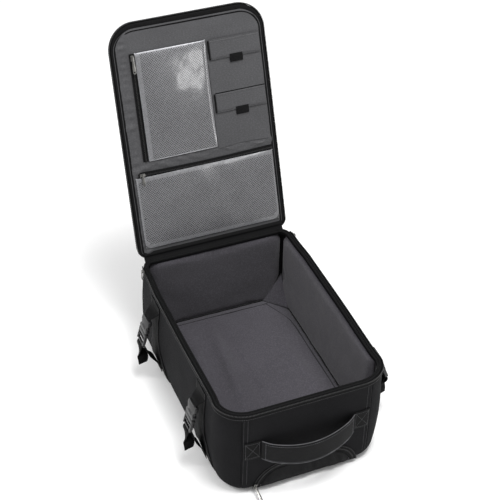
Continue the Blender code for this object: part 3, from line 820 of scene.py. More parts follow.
def wall_sheet(start, end, columns, seed):
    """One wall panel between two distances along the outline, from the roll under the bag to the rim."""
    roll = FOOT_RADIUS * math.pi / 2
    height = roll + WALL_TOP - FOOT_RADIUS

    def place(u, v):
        at, out = TUB.at(start + (end - start) * u)
        path = v * height
        if path < roll:
            angle = path / FOOT_RADIUS
            inset, z = FOOT_RADIUS * (1 - math.sin(angle)), FOOT_RADIUS * (1 - math.cos(angle))
        else:
            inset, z = 0.0, path - roll + FOOT_RADIUS
        point = at + out * (swell(at, out, z) - inset) + UP * z
        slack = math.sin(math.pi * v) * (0.35 + 0.65 * out.x * out.x)
        fold = crumple((point.x * 0.5, point.y, point.z * 0.6), 0.060, seed) * 1.6 * MM
        fold += crumple(point, 0.020, seed + 3) * 0.35 * MM
        return point + out * (fold * slack if path > roll * 0.5 else 0.0)

    return cloth_grid(columns, 46, place, (end - start, height))


def outline_run(start, end, z, proud, step):
    """(place, outward way) pairs along the tub at one height."""
    count = max(2, round(abs(end - start) / step))
    run = []
    for index in range(count + 1):
        distance = start + (end - start) * index / count
        out = TUB.at(distance)[1]
        run.append((tub_point(distance, z, proud), out))
    return run


def rim_band(profile, start=0.0, end=BASE_WALL):
    """A profile of (out, above the rim) points carried round the tub, from one base corner to the other."""
    def place(u, a, b):
        at, out = TUB.at(start + (end - start) * u)
        return at + out * (a + swell(at, out, RIM_Z)) + UP * (RIM_Z + b)

    return capped(carried(profile, RIM_COLUMNS, place, (end - start, 0.03)))


def plump(name, node, cap, seed):
    """A padded panel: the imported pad, remeshed, swollen by cloth pressure on its open face and softened."""
    scene = bpy.context.scene
    bm = bmesh.new()
    bm.from_mesh(frame["nodes"][node].data)
    bmesh.ops.remove_doubles(bm, verts=bm.verts, dist=1e-5)
    mesh = bpy.data.meshes.new(name)
    bm.to_mesh(mesh)
    bm.free()
    pad = bpy.data.objects.new(name, mesh)
    scene.collection.objects.link(pad)
    remesh = pad.modifiers.new("remesh", "REMESH")
    remesh.mode = "VOXEL"
    remesh.voxel_size = PAD_VOXEL
    graph = bpy.context.evaluated_depsgraph_get()
    pad.data = bpy.data.meshes.new_from_object(pad.evaluated_get(graph))
    pad.modifiers.clear()
    rest = [vert.co.copy() for vert in pad.data.vertices]
    normals = [vert.normal.copy() for vert in pad.data.vertices]
    cloth = pad.modifiers.new("cloth", "CLOTH")
    cloth.settings.use_pressure = True
    cloth.settings.uniform_pressure_force = PAD_PRESSURE
    cloth.settings.effector_weights.gravity = 0.0
    cloth.settings.quality = 4
    for step in range(1, CLOTH_FRAMES + 1):
        scene.frame_set(step)
    graph = bpy.context.evaluated_depsgraph_get()
    swollen = bpy.data.meshes.new_from_object(pad.evaluated_get(graph))
    pad.modifiers.clear()
    pad.data = swollen
    scene.frame_set(1)
    for vert, start, normal in zip(pad.data.vertices, rest, normals):
        moved = vert.co - start
        if moved.length > cap:
            moved *= cap / moved.length
        rumple = crumple(start, 0.055, seed) * 1.3 * MM + crumple(start, 0.018, seed + 2) * 0.3 * MM
        if normal.dot((start - TUB_CENTRE).normalized()) > BACKED:
            moved *= 0.1
            rumple *= 0.1
        vert.co = start + moved + normal * rumple
    return pad


def fit_to_corner(point, node):
    """Stretch a wall pad to the rim and the tub's far corners, and cut off the base pad's lower right corner.
    """
    point.z += PAD_LIFT * clamped((point.z - 0.10) / (PAD_TOP - 0.10))
    if node == "base_wall_pad":
        point.x *= 1 + PAD_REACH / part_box(node)[1].x
        past = min(max(abs(point.x) - (HALF_X - BASE_RADIUS), 0.0), BASE_RADIUS - 0.003)
        point.y -= BASE_RADIUS - math.sqrt(BASE_RADIUS ** 2 - past * past)
        share = (point.z - PAD_FOOT) / (GUSSET_TOP.z - PAD_FOOT)
        point.x = min(point.x, GUSSET_FOOT_X + (GUSSET_TOP.x - GUSSET_FOOT_X) * share)
    elif node in ("left_wall_pad", "right_wall_pad"):
        point.y += PAD_REACH * clamped((point.y - 0.12) / 0.11)
        past = min(max(point.y - (BASE_Y - BASE_RADIUS), 0.0), BASE_RADIUS - 0.003)
        point.x -= math.copysign(BASE_RADIUS - math.sqrt(BASE_RADIUS ** 2 - past * past), point.x)


def finish_pad(pad, node):
    """Smooth a padded panel, and hand it over."""
    pad.data.shade_smooth()
    pad.data.materials.clear()
    pad.data.materials.append(made_of("lining"))
    fine = pad.modifiers.new("fine", "SUBSURF")
    fine.levels = 1
    fine.render_levels = 1
    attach(pad, "tub")
    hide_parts(node)


def lean_with_wall(point):
    """Carry a place on the lining outwards with the slack of the wall behind it."""
    height = clamped((point.z - 0.03) / (RIM_Z - 0.03))
    side = clamped((abs(point.x) - 0.10) / 0.06)
    point.x += math.copysign(eased(SIDE_FLARE, point.y) * height * side, point.x)


class BACKPACK_OT_walls(bpy.types.Operator):
    """Four soft wall panels, the two seams at the head end and the panel under the back"""

    bl_idname = "backpack.walls"
    bl_label = "Walls"

    def execute(self, context):
        seam_left = HEAD_WALL - HEAD_SEAM_RUN
        seam_right = HEAD_RIGHT + HEAD_SEAM_RUN
        panels = (
            ("left_wall", 0.0, seam_left, 150, "left_side_panel", 1.0),
            ("head_wall", seam_left, seam_right, 90, "head_end_panel", 4.0),
            ("right_wall", seam_right, BASE_WALL, 150, "right_side_panel", 8.0),
            ("base_wall", BASE_WALL, TUB.length, 70, "base_end_panel", 12.0),
        )
        for name, start, end, columns, node, seed in panels:
            bm = wall_sheet(start, end, columns, seed)
            add_piece(name, bm, "shell", "tub", node, behind=TUB_CENTRE, wall=SHELL_CLOTH)

        heights = (0.026, 0.06, 0.10, 0.15, 0.20, WALL_TOP - 0.002)
        ridges, runs = [], []
        for seam, way in ((seam_left, 1), (seam_right, -1)):
            ridges.append(tube([tub_point(seam, z, 0.0004) for z in heights], PIPING, 8))
            for offset in (0.0025, 0.0105):
                runs.append([
                    (tub_point(seam + offset * way, 0.028 + 0.006 * i, 0.0005), TUB.at(seam)[1])
                    for i in range(33)])
        add_piece("head_seams", merged(ridges), "shell", "tub")
        add_piece("head_topstitching", stitches(runs), "thread", "tub")

        plate_half = HALF_X - FOOT_RADIUS + 0.004
        back_y = (HEAD_Y + FOOT_RADIUS - 0.004, BASE_Y - FOOT_RADIUS + 0.004)

        def underside(u, v):
            y = back_y[0] + (back_y[1] - back_y[0]) * (0.5 - 0.5 * math.cos(math.pi * v))
            radius = HEAD_RADIUS - FOOT_RADIUS
            depth = max(radius - (y - back_y[0]), 0.0)
            half = plate_half - radius + math.sqrt(max(radius * radius - depth * depth, 0.0))
            channel = abs(math.sin(math.pi * (y - back_y[0]) / 0.062))
            return Vector(((2 * u - 1) * half, y, 0.0004 + 0.0012 * (1 - channel)))

        bm = cloth_grid(40, 160, underside, (2 * plate_half, back_y[1] - back_y[0]))
        add_piece("back_panel", bm, "nylon", "tub", "back_cover", "heather", behind=UP, wall=TAPE_CLOTH)
        return {"FINISHED"}


class BACKPACK_OT_pads(bpy.types.Operator):
    """The padded lining: four wall pads and the floor, swollen by cloth pressure"""

    bl_idname = "backpack.pads"
    bl_label = "Padded lining"

    def execute(self, context):
        cap = sizes().pad_swell
        for name, node, seed in (
            ("left_wall_padding", "left_wall_pad", 2.0),
            ("right_wall_padding", "right_wall_pad", 6.0),
            ("head_wall_padding", "head_wall_pad", 9.0),
            ("base_wall_padding", "base_wall_pad", 13.0),
        ):
            pad = plump(name, node, cap, seed)
            for vert in pad.data.vertices:
                fit_to_corner(vert.co, node)
                lean_with_wall(vert.co)
            finish_pad(pad, node)
        floor = plump("floor_padding", "floor_pad", cap * 0.4, 21.0)
        for vert in floor.data.vertices:
            if vert.co.z > FLOOR_TOP - 0.004:
                vert.co.z += self.folds(vert.co.x, vert.co.y)
        finish_pad(floor, "floor_pad")
        return {"FINISHED"}

    @staticmethod
    def folds(x, y):
        """Three soft folds and one groove along the floor, most of them on its left half."""
        height = 0.0
        for x0, y0, x1, y1, tall, wide in (
            (-0.030, 0.19, -0.055, -0.05, 9.0 * MM, 0.011),
            (-0.085, 0.21, -0.105, 0.00, 7.0 * MM, 0.013),
            (-0.005, 0.16, -0.010, -0.10, -5.0 * MM, 0.012),
            (0.100, 0.12, 0.130, -0.14, 5.0 * MM, 0.014),
        ):
            share = clamped((y0 - y) / (y0 - y1))
            off = x - (x0 + (x1 - x0) * share)
            fade = math.sin(math.pi * clamped((y0 + 0.02 - y) / (y0 - y1 + 0.04)))
            height += tall * fade * math.exp(-(off / wide) ** 2)
        return height


class BACKPACK_OT_lining_seams(bpy.types.Operator):
    """The loose gussets in the lining's far corners, and dark cords along its seams that also paint the shade
    of their folds
    """

    bl_idname = "backpack.lining_seams"
    bl_label = "Lining seams"

    def execute(self, context):
        z = FLOOR_TOP + 0.0016
        far, right = 0.236, 0.1535
        lines = [
            [(-0.150, far, z), (-0.05, far + 0.001, z), (0.06, far, z), (0.118, far - 0.001, z),
             (0.126, far + 0.004, z)],
            [(-0.158, 0.2505, z), (0.0, 0.2500, z), (0.112, 0.2495, z)],
            [(0.120, far - 0.001, z), (0.138, 0.196, z), (right - 0.001, 0.150, z), (right, 0.05, z),
             (right + 0.001, -0.08, z), (right - 0.002, -0.205, z)],
            [(0.1655, 0.200, z), (0.1655, 0.05, z), (0.1655, -0.205, z)],
        ]
        top, low = GUSSET_TOP, Vector((GUSSET_FOOT_X + 0.002, 0.2505, FLOOR_TOP + 0.001))
        end = Vector((0.1655, 0.196, FLOOR_TOP + 0.004))
        for side, word, seed in ((1, "right", 71.0), (-1, "left", 75.0)):
            def gusset(u, v, side=side, seed=seed):
                point = top + (low - top) * v + (end - low) * u * v
                loose = math.sin(math.pi * min(u, 1.0)) * math.sin(math.pi * v)
                fine, tall = (2.0, 5.0 * MM) if side < 0 else (1.0, 2.0 * MM)
                soft = crumple(point * fine, 0.022, seed) * tall
                point = point + Vector((-0.7, -0.7, 0.3)) * (loose * (0.002 + soft))
                return Vector((side * point.x, point.y, point.z))

            bm = cloth_grid(26, 30, gusset, GUSSET_LEGS)
            sheet = add_piece(
                "lining_gusset_" + word, bm, "lining", "tub",
                behind=Vector((side * 0.3, 0.4, 0.0)), wall=TAPE_CLOTH)
            # Painted shade: the dark cord from each gusset's top to its foot stands in for the shadow along
            # that edge; the other two are seams.
            sides = (((0, 0), (0, 1)), ((0, 1), (1, 1)), ((1, 0), (1, 1)))
            seams = [tube(between(gusset, first, last, 10), PIPING, 3) for first, last in sides]
            edge = add_piece("lining_gusset_seam_painted_shade_" + word, merged(seams), "binding", "tub")
        # Painted shade: the floor's seams as dark cords, which stand in for the shade in their folds as well
        # as for the seams.
        seams = [tube([Vector(point) for point in line], 0.0010, 6, 6) for line in lines]
        add_piece("floor_seams_painted_shade", merged(seams), "binding", "tub")
        return {"FINISHED"}


class BACKPACK_OT_rim(bpy.types.Operator):
    """The bound rim with its two rolls of piping, and the tub's half of the main zip"""

    bl_idname = "backpack.rim"
    bl_label = "Rim"

    def execute(self, context):
        inner = arc((-0.0092, -0.0038), 0.0027, 235, -20, 8)
        outer = arc((-0.0034, -0.0034), 0.0032, 205, -30, 9)
        profile = inner + outer + [(-0.0006, -0.0098), (-0.0112, -0.0098)]
        add_piece("rim_piping", rim_band(profile), "trim", "tub", "rim_binding")
        strip = [
            (-0.0072, -0.0042), (-0.0066, -0.0022), (-0.0060, -0.0042), (-0.0060, -0.0060),
            (-0.0072, -0.0060)]
        add_piece("rim_twill", rim_band(strip), "binding", "tub")

        tape = [(0.0005, -0.0160), (0.0014, -0.0158), (0.0015, -0.0012), (0.0010, -0.0006), (0.0004, -0.0012)]
        start, end = BASE_RADIUS * 1.3, BASE_WALL - BASE_RADIUS * 1.3
        bm = rim_band(tape, start=start, end=end)
        add_piece("tub_zip_webbing", bm, "trim", "tub", "tub_zip_tape")
        run = outline_run(start, end, RIM_Z - 0.0022, 0.0022, step=0.003)
        add_piece("tub_zip_coil", coil(run), "teeth", "tub")
        seam = outline_run(start, end, RIM_Z - 0.0125, 0.0018, step=0.004)
        add_piece("tub_zip_topstitching", stitches([seam]), "thread", "tub")
        return {"FINISHED"}


class BACKPACK_OT_hinge(bpy.types.Operator):
    """The fabric hinge between the tub and the lid, shaped for the open lid"""

    bl_idname = "backpack.hinge"
    bl_label = "Fabric hinge"

    def execute(self, context):
        low = HINGE_AT.y - 0.0125
        path = [
            (low, RIM_Z - 0.0098), (low - 0.0006, RIM_Z - 0.0050), (low + 0.0010, RIM_Z - 0.0016),
            (low + 0.0040, RIM_Z - 0.0010), (low + 0.0062, RIM_Z - 0.0026), (low + 0.0088, RIM_Z - 0.0012),
        ]
        for reach, out in ((0.0035, -0.0010), (0.0075, -0.0024), (0.0115, -0.0012), (0.0145, 0.0002)):
            point = on_lid(0.0, reach, out)
            path.append((point.y, point.z))
        path = smooth_path(path, 4)
        half = HALF_X - 0.0105
        count = len(path) - 1

        def place(u, v):
            y, z = path[round(v * count)]
            x = (2 * u - 1) * half
            return Vector((x, y, z + crumple((x, y, z), 0.03, 2.0) * 0.3 * MM))

        bm = cloth_grid(90, count, place, (2 * half, 0.034))
        piece = add_piece(
            "fabric_hinge", bm, "trim", None, "hinge_tape",
            behind=Vector((0.0, HINGE_AT.y, -1.0)), wall=1.0 * MM)
        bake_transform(piece)
        return {"FINISHED"}


# ---------------------------------------------------------------- lid

def lid_sheet(inset, columns, rows, depth):
    """A sheet that follows the lid's outline at an inset; depth(x, reach) gives its place outwards."""
    start = LID_START + inset
    end = LID_LENGTH - inset

    def place(u, v):
        reach = start + (end - start) * (0.5 - 0.5 * math.cos(math.pi * v))
        half = lid_half(reach, inset)
        x = (2 * u - 1) * half
        return on_lid(x, reach, depth(x, reach))

    return cloth_grid(columns, rows, place, (2 * (LID_HALF - inset), end - start))


def lid_ring(profile, start=0.0, end=LID.length, closed=True):
    """A profile of (out from the edge, outwards through the lid) points carried round the lid's edge."""
    def place(u, a, b):
        at, out = LID.at(start + (end - start) * u)
        if a < INNER_PIPING:
            a -= HEAD_BORDER_EXTRA * max(-out.y, 0.0) ** 2
        point = at + out * a
        return on_lid(point.x, -point.y, b)

    bm = carried(profile, LID_COLUMNS, place, (end - start, 0.04))
    return bm if closed else capped(bm)


def lid_line(start, end, count, inset, depth):
    """Places round the lid's edge at an inset; depth(x, reach) gives each one's place outwards."""
    line = []
    for index in range(count + 1):
        at, out = LID.at(start + (end - start) * index / count)
        place = at - out * inset
        line.append((on_lid(place.x, -place.y, depth(place.x, -place.y)), out))
    return line


def in_region(region, u, v):
    """The place across and up the lid of a share of a region."""
    x0, x1, near, far = region
    return x0 + (x1 - x0) * u, near + (far - near) * v


def pocket_depth(region, x, reach):
    """How far a slack pocket stands in from the lining."""
    x0, x1, near, far = region
    u = clamped((x - x0) / (x1 - x0))
    v = clamped((reach - near) / (far - near))
    belly = math.sin(math.pi * u) ** 0.6 * math.sin(math.pi * v) ** 0.6
    wave = crumple((x * 1.3, reach * 0.8, 0.0), 0.045, x0 * 90 + near * 40)
    roll = 0.0
    if region is MESH_UPPER and x < x1:
        roll = math.sin(math.pi / 2 * min((x1 - x) / POCKET_ROLL, 1.0)) * math.sin(math.pi * v) ** 0.3
    return -(0.0010 + 0.0030 * belly + wave * 0.0013 * belly + POCKET_ROLL_DEPTH * roll)


class BACKPACK_OT_lid_shell(bpy.types.Operator):
    """The lid's heather outside, its bound edge with piping, and its half of the main zip"""

    bl_idname = "backpack.lid_shell"
    bl_label = "Lid shell"

    def execute(self, context):
        def crown(x, reach):
            u, v = x / LID_HALF, reach / LID_LENGTH
            belly = (1 - u * u) * (1 - (2 * v - 1) ** 4)
            wave = crumple((x, reach * 0.6, 0.0), 0.07, 31.0) * 1.2 * MM
            wave += crumple((x, reach, 0.0), 0.02, 33.0) * 0.3 * MM
            return LID_THICK - 0.0006 + (LID_CROWN + wave) * belly

        bm = lid_sheet(0.0008, 90, 130, crown)
        inside = on_lid(0.0, LID_LENGTH / 2, -1.0)
        add_piece("lid_cover", bm, "shell", "lid", "lid_shell", behind=inside, wall=SHELL_CLOTH)

        outer = arc((-0.0036, 0.0042), 0.0036, 20, -160, 9)
        inner = arc((-0.0106, 0.0036), 0.0030, 0, -195, 9)
        profile = outer + inner + [(-0.0130, 0.0110), (-0.0128, 0.0146), (-0.0020, 0.0150), (0.0003, 0.0130)]
        add_piece("lid_edge", lid_ring(profile), "trim", "lid", "lid_binding")
        strip = [
            (-0.0084, 0.0044), (-0.0078, 0.0022), (-0.0068, 0.0022), (-0.0064, 0.0044), (-0.0070, 0.0060)]
        add_piece("lid_twill", lid_ring(strip), "binding", "lid")

        start, end = LID_BASE_RADIUS * 1.9, BASE_WALL_LID - LID_BASE_RADIUS * 0.4
        tape = [(0.0005, 0.0008), (0.0014, 0.0006), (0.0016, 0.0118), (0.0010, 0.0122), (0.0005, 0.0118)]
        bm = lid_ring(tape, start, end, closed=False)
        add_piece("lid_zip_webbing", bm, "trim", "lid", "lid_zip_tape")
        run, seam = (
            [(point, on_lid(out.x, -out.y, 0.0) - on_lid(0.0, 0.0, 0.0))
             for point, out in lid_line(start, end, 400, -0.0022, lambda x, reach, height=height: height)]
            for height in (0.0018, 0.0098))
        add_piece("lid_zip_coil", coil(run), "teeth", "lid")
        add_piece("lid_zip_topstitching", stitches([seam[::2]]), "thread", "lid")

        def over_crown(x, reach):
            return crown(x, reach) + 0.0003

        runs = [
            [(point, LID_FACE_OUT) for point, out in lid_line(0.0, LID.length, 240, inset, over_crown)]
            for inset in (0.010, 0.0155)]
        add_piece("lid_topstitching", stitches(runs), "thread", "lid")
        return {"FINISHED"}


BASE_WALL_LID = LID.corner_starts[7]


class BACKPACK_OT_lid_lining(bpy.types.Operator):
    """The lid's thin lining, gathered along its left edge and pleated between the pockets"""

    bl_idname = "backpack.lid_lining"
    bl_label = "Lid lining"

    def execute(self, context):
        def ripple(x, reach):
            left = math.exp(-((x + 0.1525) / 0.009) ** 2)
            between = math.exp(-((reach - 0.2095) / 0.007) ** 2)
            top = math.exp(-((reach - 0.485) / 0.02) ** 2)
            depth = 0.0012
            depth -= left * max(0.9 + crumple((x * 0.3, reach, 0.0), 0.011, 3.0) * 2.8, 0.0) * 1.5 * MM
            slant = reach + x * 0.25
            pleat = crumple((x * 0.5, slant * 1.6, 0.0), 0.012, 7.0)
            depth -= between * max(0.6 + pleat * 2.6, 0.0) * 1.9 * MM
            depth -= top * crumple((x * 0.4, reach, 0.0), 0.03, 9.0) * 0.8 * MM
            depth -= crumple((x, reach, 0.0), 0.06, 11.0) * 0.4 * MM
            return depth

        bm = lid_sheet(BORDER - 0.002, 130, 200, ripple)
        lining = add_piece("lid_lining_cloth", bm, "lid_lining", "lid", "lid_lining", behind=BEHIND_LID)
        return {"FINISHED"}


class BACKPACK_OT_mesh_pockets(bpy.types.Operator):
    """Two zipped pockets: a knitted net with a dense selvedge, faced with clear film"""

    bl_idname = "backpack.mesh_pockets"
    bl_label = "Mesh pockets"

    def execute(self, context):
        self.pocket("upper", MESH_UPPER, (0.010, 0.0030, 0.0020, 0.0025), corner=0.003)
        self.pocket("lower", MESH_LOWER, (0.0035, 0.003, 0.0085, 0.0090), corner=0.014)
        self.zip("upper", ZIP_UPPER, True)
        self.zip("lower", ZIP_LOWER, False)
        return {"FINISHED"}

    def pocket(self, word, region, bands, corner):
        x0, x1, near, far = region
        width, length = x1 - x0, far - near

        def film_at(u, v):
            x, reach = in_region(region, u, v)
            return on_lid(x, reach, pocket_depth(region, x, reach) - 0.0009)

        film_grid = cloth_grid(70, 70, film_at, (width, length))
        film = add_piece(
            f"pocket_film_{word}", film_grid, "film", "lid", f"mesh_panel_{word}", behind=BEHIND_LID)
        net = add_piece(f"pocket_net_{word}", self.net(region, corner), "net", "lid", behind=BEHIND_LID)
        bm = self.selvedge(region, bands, corner)
        band = add_piece(f"pocket_selvedge_{word}", bm, "band", "lid", behind=BEHIND_LID)

    def net(self, region, corner):
        """Diamond cells cut to the pocket, each one opened in its middle."""
        x0, x1, near, far = region
        cell = sizes().net_cell
        across = (x1 - x0 + far - near) / math.sqrt(2) + cell
        count = math.ceil(across / cell)
        bm = bmesh.new()
        bm.loops.layers.uv.new(CLOTH_UV)
        turn = Matrix.Rotation(math.pi / 4, 4, "Z")
        turn.translation = ((x0 + x1) / 2, (near + far) / 2, 0.0)
        bmesh.ops.create_grid(bm, x_segments=count, y_segments=count, size=count * cell / 2, matrix=turn)
        cuts = (
            ((x0, 0, 0), (-1, 0, 0)), ((x1, 0, 0), (1, 0, 0)),
            ((0, near, 0), (0, -1, 0)), ((0, far, 0), (0, 1, 0)),
            ((x0 + corner, near, 0), (-1, -1, 0)), ((x1 - corner, near, 0), (1, -1, 0)))
        for place, way in cuts:
            geometry = bm.verts[:] + bm.edges[:] + bm.faces[:]
            bmesh.ops.bisect_plane(bm, geom=geometry, plane_co=place, plane_no=way, clear_outer=True)
        cells = bm.faces[:]
        bmesh.ops.inset_individual(bm, faces=cells, thickness=cell * 0.19, use_even_offset=True)
        bmesh.ops.delete(bm, geom=cells, context="FACES")
        for vert in bm.verts:
            x, reach = vert.co.x, vert.co.y
            vert.co = on_lid(x, reach, pocket_depth(region, x, reach) - 0.0003)
        return bm

    def selvedge(self, region, bands, corner):
        """The dense band that the net is sewn by."""
        x0, x1, near, far = region
        left, right, bottom, top = bands
        loop = arc((x1 - corner, near + corner), corner, -90, 0, 4)
        loop += [(x1, far), (x0, far)]
        loop += arc((x0 + corner, near + corner), corner, 180, 270, 4)
        dense = []
        for (ax, ay), (bx, by) in zip(loop, loop[1:] + loop[:1]):
            pieces = max(1, round(math.hypot(bx - ax, by - ay) / 0.006))
            dense += [(ax + (bx - ax) * i / pieces, ay + (by - ay) * i / pieces) for i in range(pieces)]
        count = len(dense)

        def place(u, v):
            x, reach = dense[round(u * count) % count]
            inner_x = min(max(x, x0 + max(left, corner * 0.8)), x1 - max(right, corner * 0.8))
            inner_reach = min(max(reach, near + bottom), far - top)
            if x0 + corner < x < x1 - corner or near + corner < reach:
                inner_x = min(max(x, x0 + left), x1 - right)
            ax, ay = x + (inner_x - x) * v, reach + (inner_reach - reach) * v
            return on_lid(ax, ay, pocket_depth(region, ax, ay) - 0.0006)

        return cloth_grid(count, 4, place, (count * 0.006, 0.008))

    def zip(self, word, region, upright):
        """A pocket's zip: one black tape with its coil down the middle."""
        x0, x1, near, far = region

        def place(u, v):
            if upright:
                x, reach = x0 + (x1 - x0) * v, near + (far - near) * u
                sag = 0.0
            else:
                x, reach = x0 + (x1 - x0) * u, near + (far - near) * v
                sag = -0.003 * math.sin(math.pi * u)
            ridge = 0.0010 * math.exp(-((v - 0.5) / 0.16) ** 2)
            return on_lid(x, reach + sag, -0.0012 - ridge)

        bm = cloth_grid(80, 12, place, (far - near if upright else x1 - x0, 0.011))
        add_piece(
            f"pocket_zip_{word}", bm, "trim", "lid", f"mesh_zip_{word}", behind=BEHIND_LID, wall=0.8 * MM)
        inward = -LID_FACE_OUT
        run = [(point + inward * 0.0005, inward) for point in between(place, (0, 0.5), (1, 0.5), 120)]
        add_piece(f"pocket_coil_{word}", coil(run, (0.0011, 0.0030, 0.0010)), "teeth", "lid")


class BACKPACK_OT_organiser(bpy.types.Operator):
    """The right-hand slip pockets, their two flaps and the black tabs on them"""

    bl_idname = "backpack.organiser"
    bl_label = "Organiser"

    def execute(self, context):
        def panel(u, v):
            x, reach = in_region(ORGANISER, u, v)
            reach += 0.004 * math.sin(math.pi * u) * (1 - v)
            slack = math.sin(math.pi * u) * math.sin(math.pi * v)
            seam = 0.0006 * math.exp(-((reach - FLAP_TOPS["lower"]) / 0.004) ** 2)
            slack *= 0.5 + crumple((x, reach, 0.0), 0.04, 41.0)
            return on_lid(x, reach, -0.0006 - seam - slack * 1.2 * MM)

        width, length = ORGANISER[1] - ORGANISER[0], ORGANISER[3] - ORGANISER[2]
        bm = cloth_grid(44, 70, panel, (width, length))
        piece = add_piece("organiser_cloth", bm, "lid_lining", "lid", "organiser_panel", behind=BEHIND_LID)

        for word, top in FLAP_TOPS.items():
            self.flap(word, top)
        return {"FINISHED"}

    def flap(self, word, top):
        x0, x1 = FLAP_X

        def place(u, v):
            x, reach = x0 + (x1 - x0) * u, top - FLAP_DROP * v
            lift = 0.0008 * v + 0.0006 * math.sin(math.pi * u) * v
            wave = crumple((x, reach, 0.0), 0.030, top * 50) * 0.5 * MM * v
            return on_lid(x, reach + 0.0010 * math.sin(3.1 * u) * v, -0.0022 - lift - wave)

        bm = cloth_grid(40, 14, place, (x1 - x0, FLAP_DROP))
        cloth = add_piece(
            f"flap_cloth_{word}", bm, "lid_lining", f"flap_{word}", f"flap_{word}",
            behind=BEHIND_LID, wall=0.7 * MM)
        inward = -LID_FACE_OUT
        hem = [point + inward * 0.0001 for point in between(place, (0, 1), (1, 1), 8)]
        # Painted shade: a black cord just left of each flap stands in for the dark gap along its side.
        side = [point - Vector((0.0022, 0, 0)) for point in between(place, (0, 0), (0, 1), 5)]
        head = [point + LID_REACH_WAY * 0.0012 for point in between(place, (0, 0), (1, 0), 8)]
        edges = add_piece(f"flap_side_gap_painted_shade_{word}", merged([tube(side, 0.0016)]), "trim", f"flap_{word}")
        # A cord along each flap's head: black on the lower flap, lining grey on the upper.
        folded = add_piece(f"flap_hem_{word}", tube(hem, 0.0007), "lid_lining", f"flap_{word}")
        head_cord = add_piece(
            f"flap_head_cord_{word}", tube(head, 0.0009), "trim" if word == "lower" else "lid_lining",
            f"flap_{word}", slot="black_trim")
        runs = [
            [(point + inward * 0.0002, inward) for point in between(place, (0, v), (1, v), 30)]
            for v in (0.10, 0.90)]
        thread = add_piece(f"flap_topstitching_{word}", stitches(runs), "thread", f"flap_{word}")
        tab0, tab1 = TAB_X
        middle = (tab0 + tab1) / 2
        points = []
        for drop, out in ((-0.006, -0.0040), (0.0, -0.0042), (0.006, -0.0036), (TAB_DROP, -0.0030)):
            spot = on_lid(middle, top - FLAP_DROP - drop, out)
            points.append((*spot, tab1 - tab0, 0.0))
        tab = add_piece(
            f"flap_tab_{word}", ribbon(points, Vector((1, 0, 0)), 1.4 * MM), "trim", f"flap_{word}")


# ---------------------------------------------------------------- sliders

def pull_tab(length, matrix):
    """A pull hanging along X from its pivot: a flat tab with a round end and a hole in it."""
    half = PULL_WIDTH / 2
    eye = Vector((length - half * 1.25, 0.0))
    neck = 0.0017
    edge = [(length * share, neck + (half - neck) * min(share * 1.8, 1.0)) for share in (0.75, 0.6, 0.4, 0.2)]
    outline = arc((0.0, 0.0), neck, 90, 270, 6)
    outline += [(x, -y) for x, y in reversed(edge)]
    outline += arc((length - half, 0.0), half, -90, 90, 12)
    outline += edge
    count = len(outline)
    thick = 0.0013
    rings = (
        (1.0, -0.5), (1.0, 0.5), (0.93, 0.5), (0.0, 0.5), (-0.06, 0.2), (-0.06, -0.2), (0.0, -0.5),
        (0.93, -0.5))

    def place(u, v):
        x, y = outline[round(u * count) % count]
        share, z = rings[round(v * len(rings)) % len(rings)]
        ray = Vector((x, y)) - eye
        inner = ray.normalized() * half * 0.52
        spot = eye + inner + (ray - inner) * share
        return Vector((spot.x, spot.y, z * thick * (0.85 if share == 1.0 else 1.0)))

    bm = cloth_grid(count, len(rings), place)
    bmesh.ops.transform(bm, matrix=matrix, verts=bm.verts)
    return bm


def slider_body(matrix):
    """A zip slider: a pinched body over the coil, with a raised bridge for the pull."""
    bm = bmesh.new()
    bm.loops.layers.uv.new(CLOTH_UV)
    rounded_box(bm, Matrix.Translation((0, 0, 0.0013)), (SLIDER_LENGTH, SLIDER_WIDTH, 0.0026), 0.0010)
    for vert in bm.verts:
        vert.co.y *= 0.72 + 0.28 * min(abs(vert.co.x - 0.002) / 0.006, 1.0)
    rounded_box(bm, Matrix.Translation((-0.0032, 0, 0.0036)), (0.0014, 0.0030, 0.0026), 0.0004)
    rounded_box(bm, Matrix.Translation((0.0032, 0, 0.0036)), (0.0014, 0.0030, 0.0026), 0.0004)
    rounded_box(bm, Matrix.Translation((0, 0, 0.0050)), (0.0078, 0.0030, 0.0012), 0.0004)
    bmesh.ops.transform(bm, matrix=matrix, verts=bm.verts)
    return bm


def add_slider(slider, place, along, out, hang, tab_out, length):
    """A slider and its pull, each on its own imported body."""
    pull = slider.replace("slider", "pull")
    pivot = place + out.normalized() * PIVOT_OUT
    for node, bm in (
        (slider, slider_body(facing(place, along, out))),
        (pull, pull_tab(length, facing(pivot, hang, tab_out))),
    ):
        add_piece("nickel_" + node, bm, "nickel", node, node, sharp_deg=35)


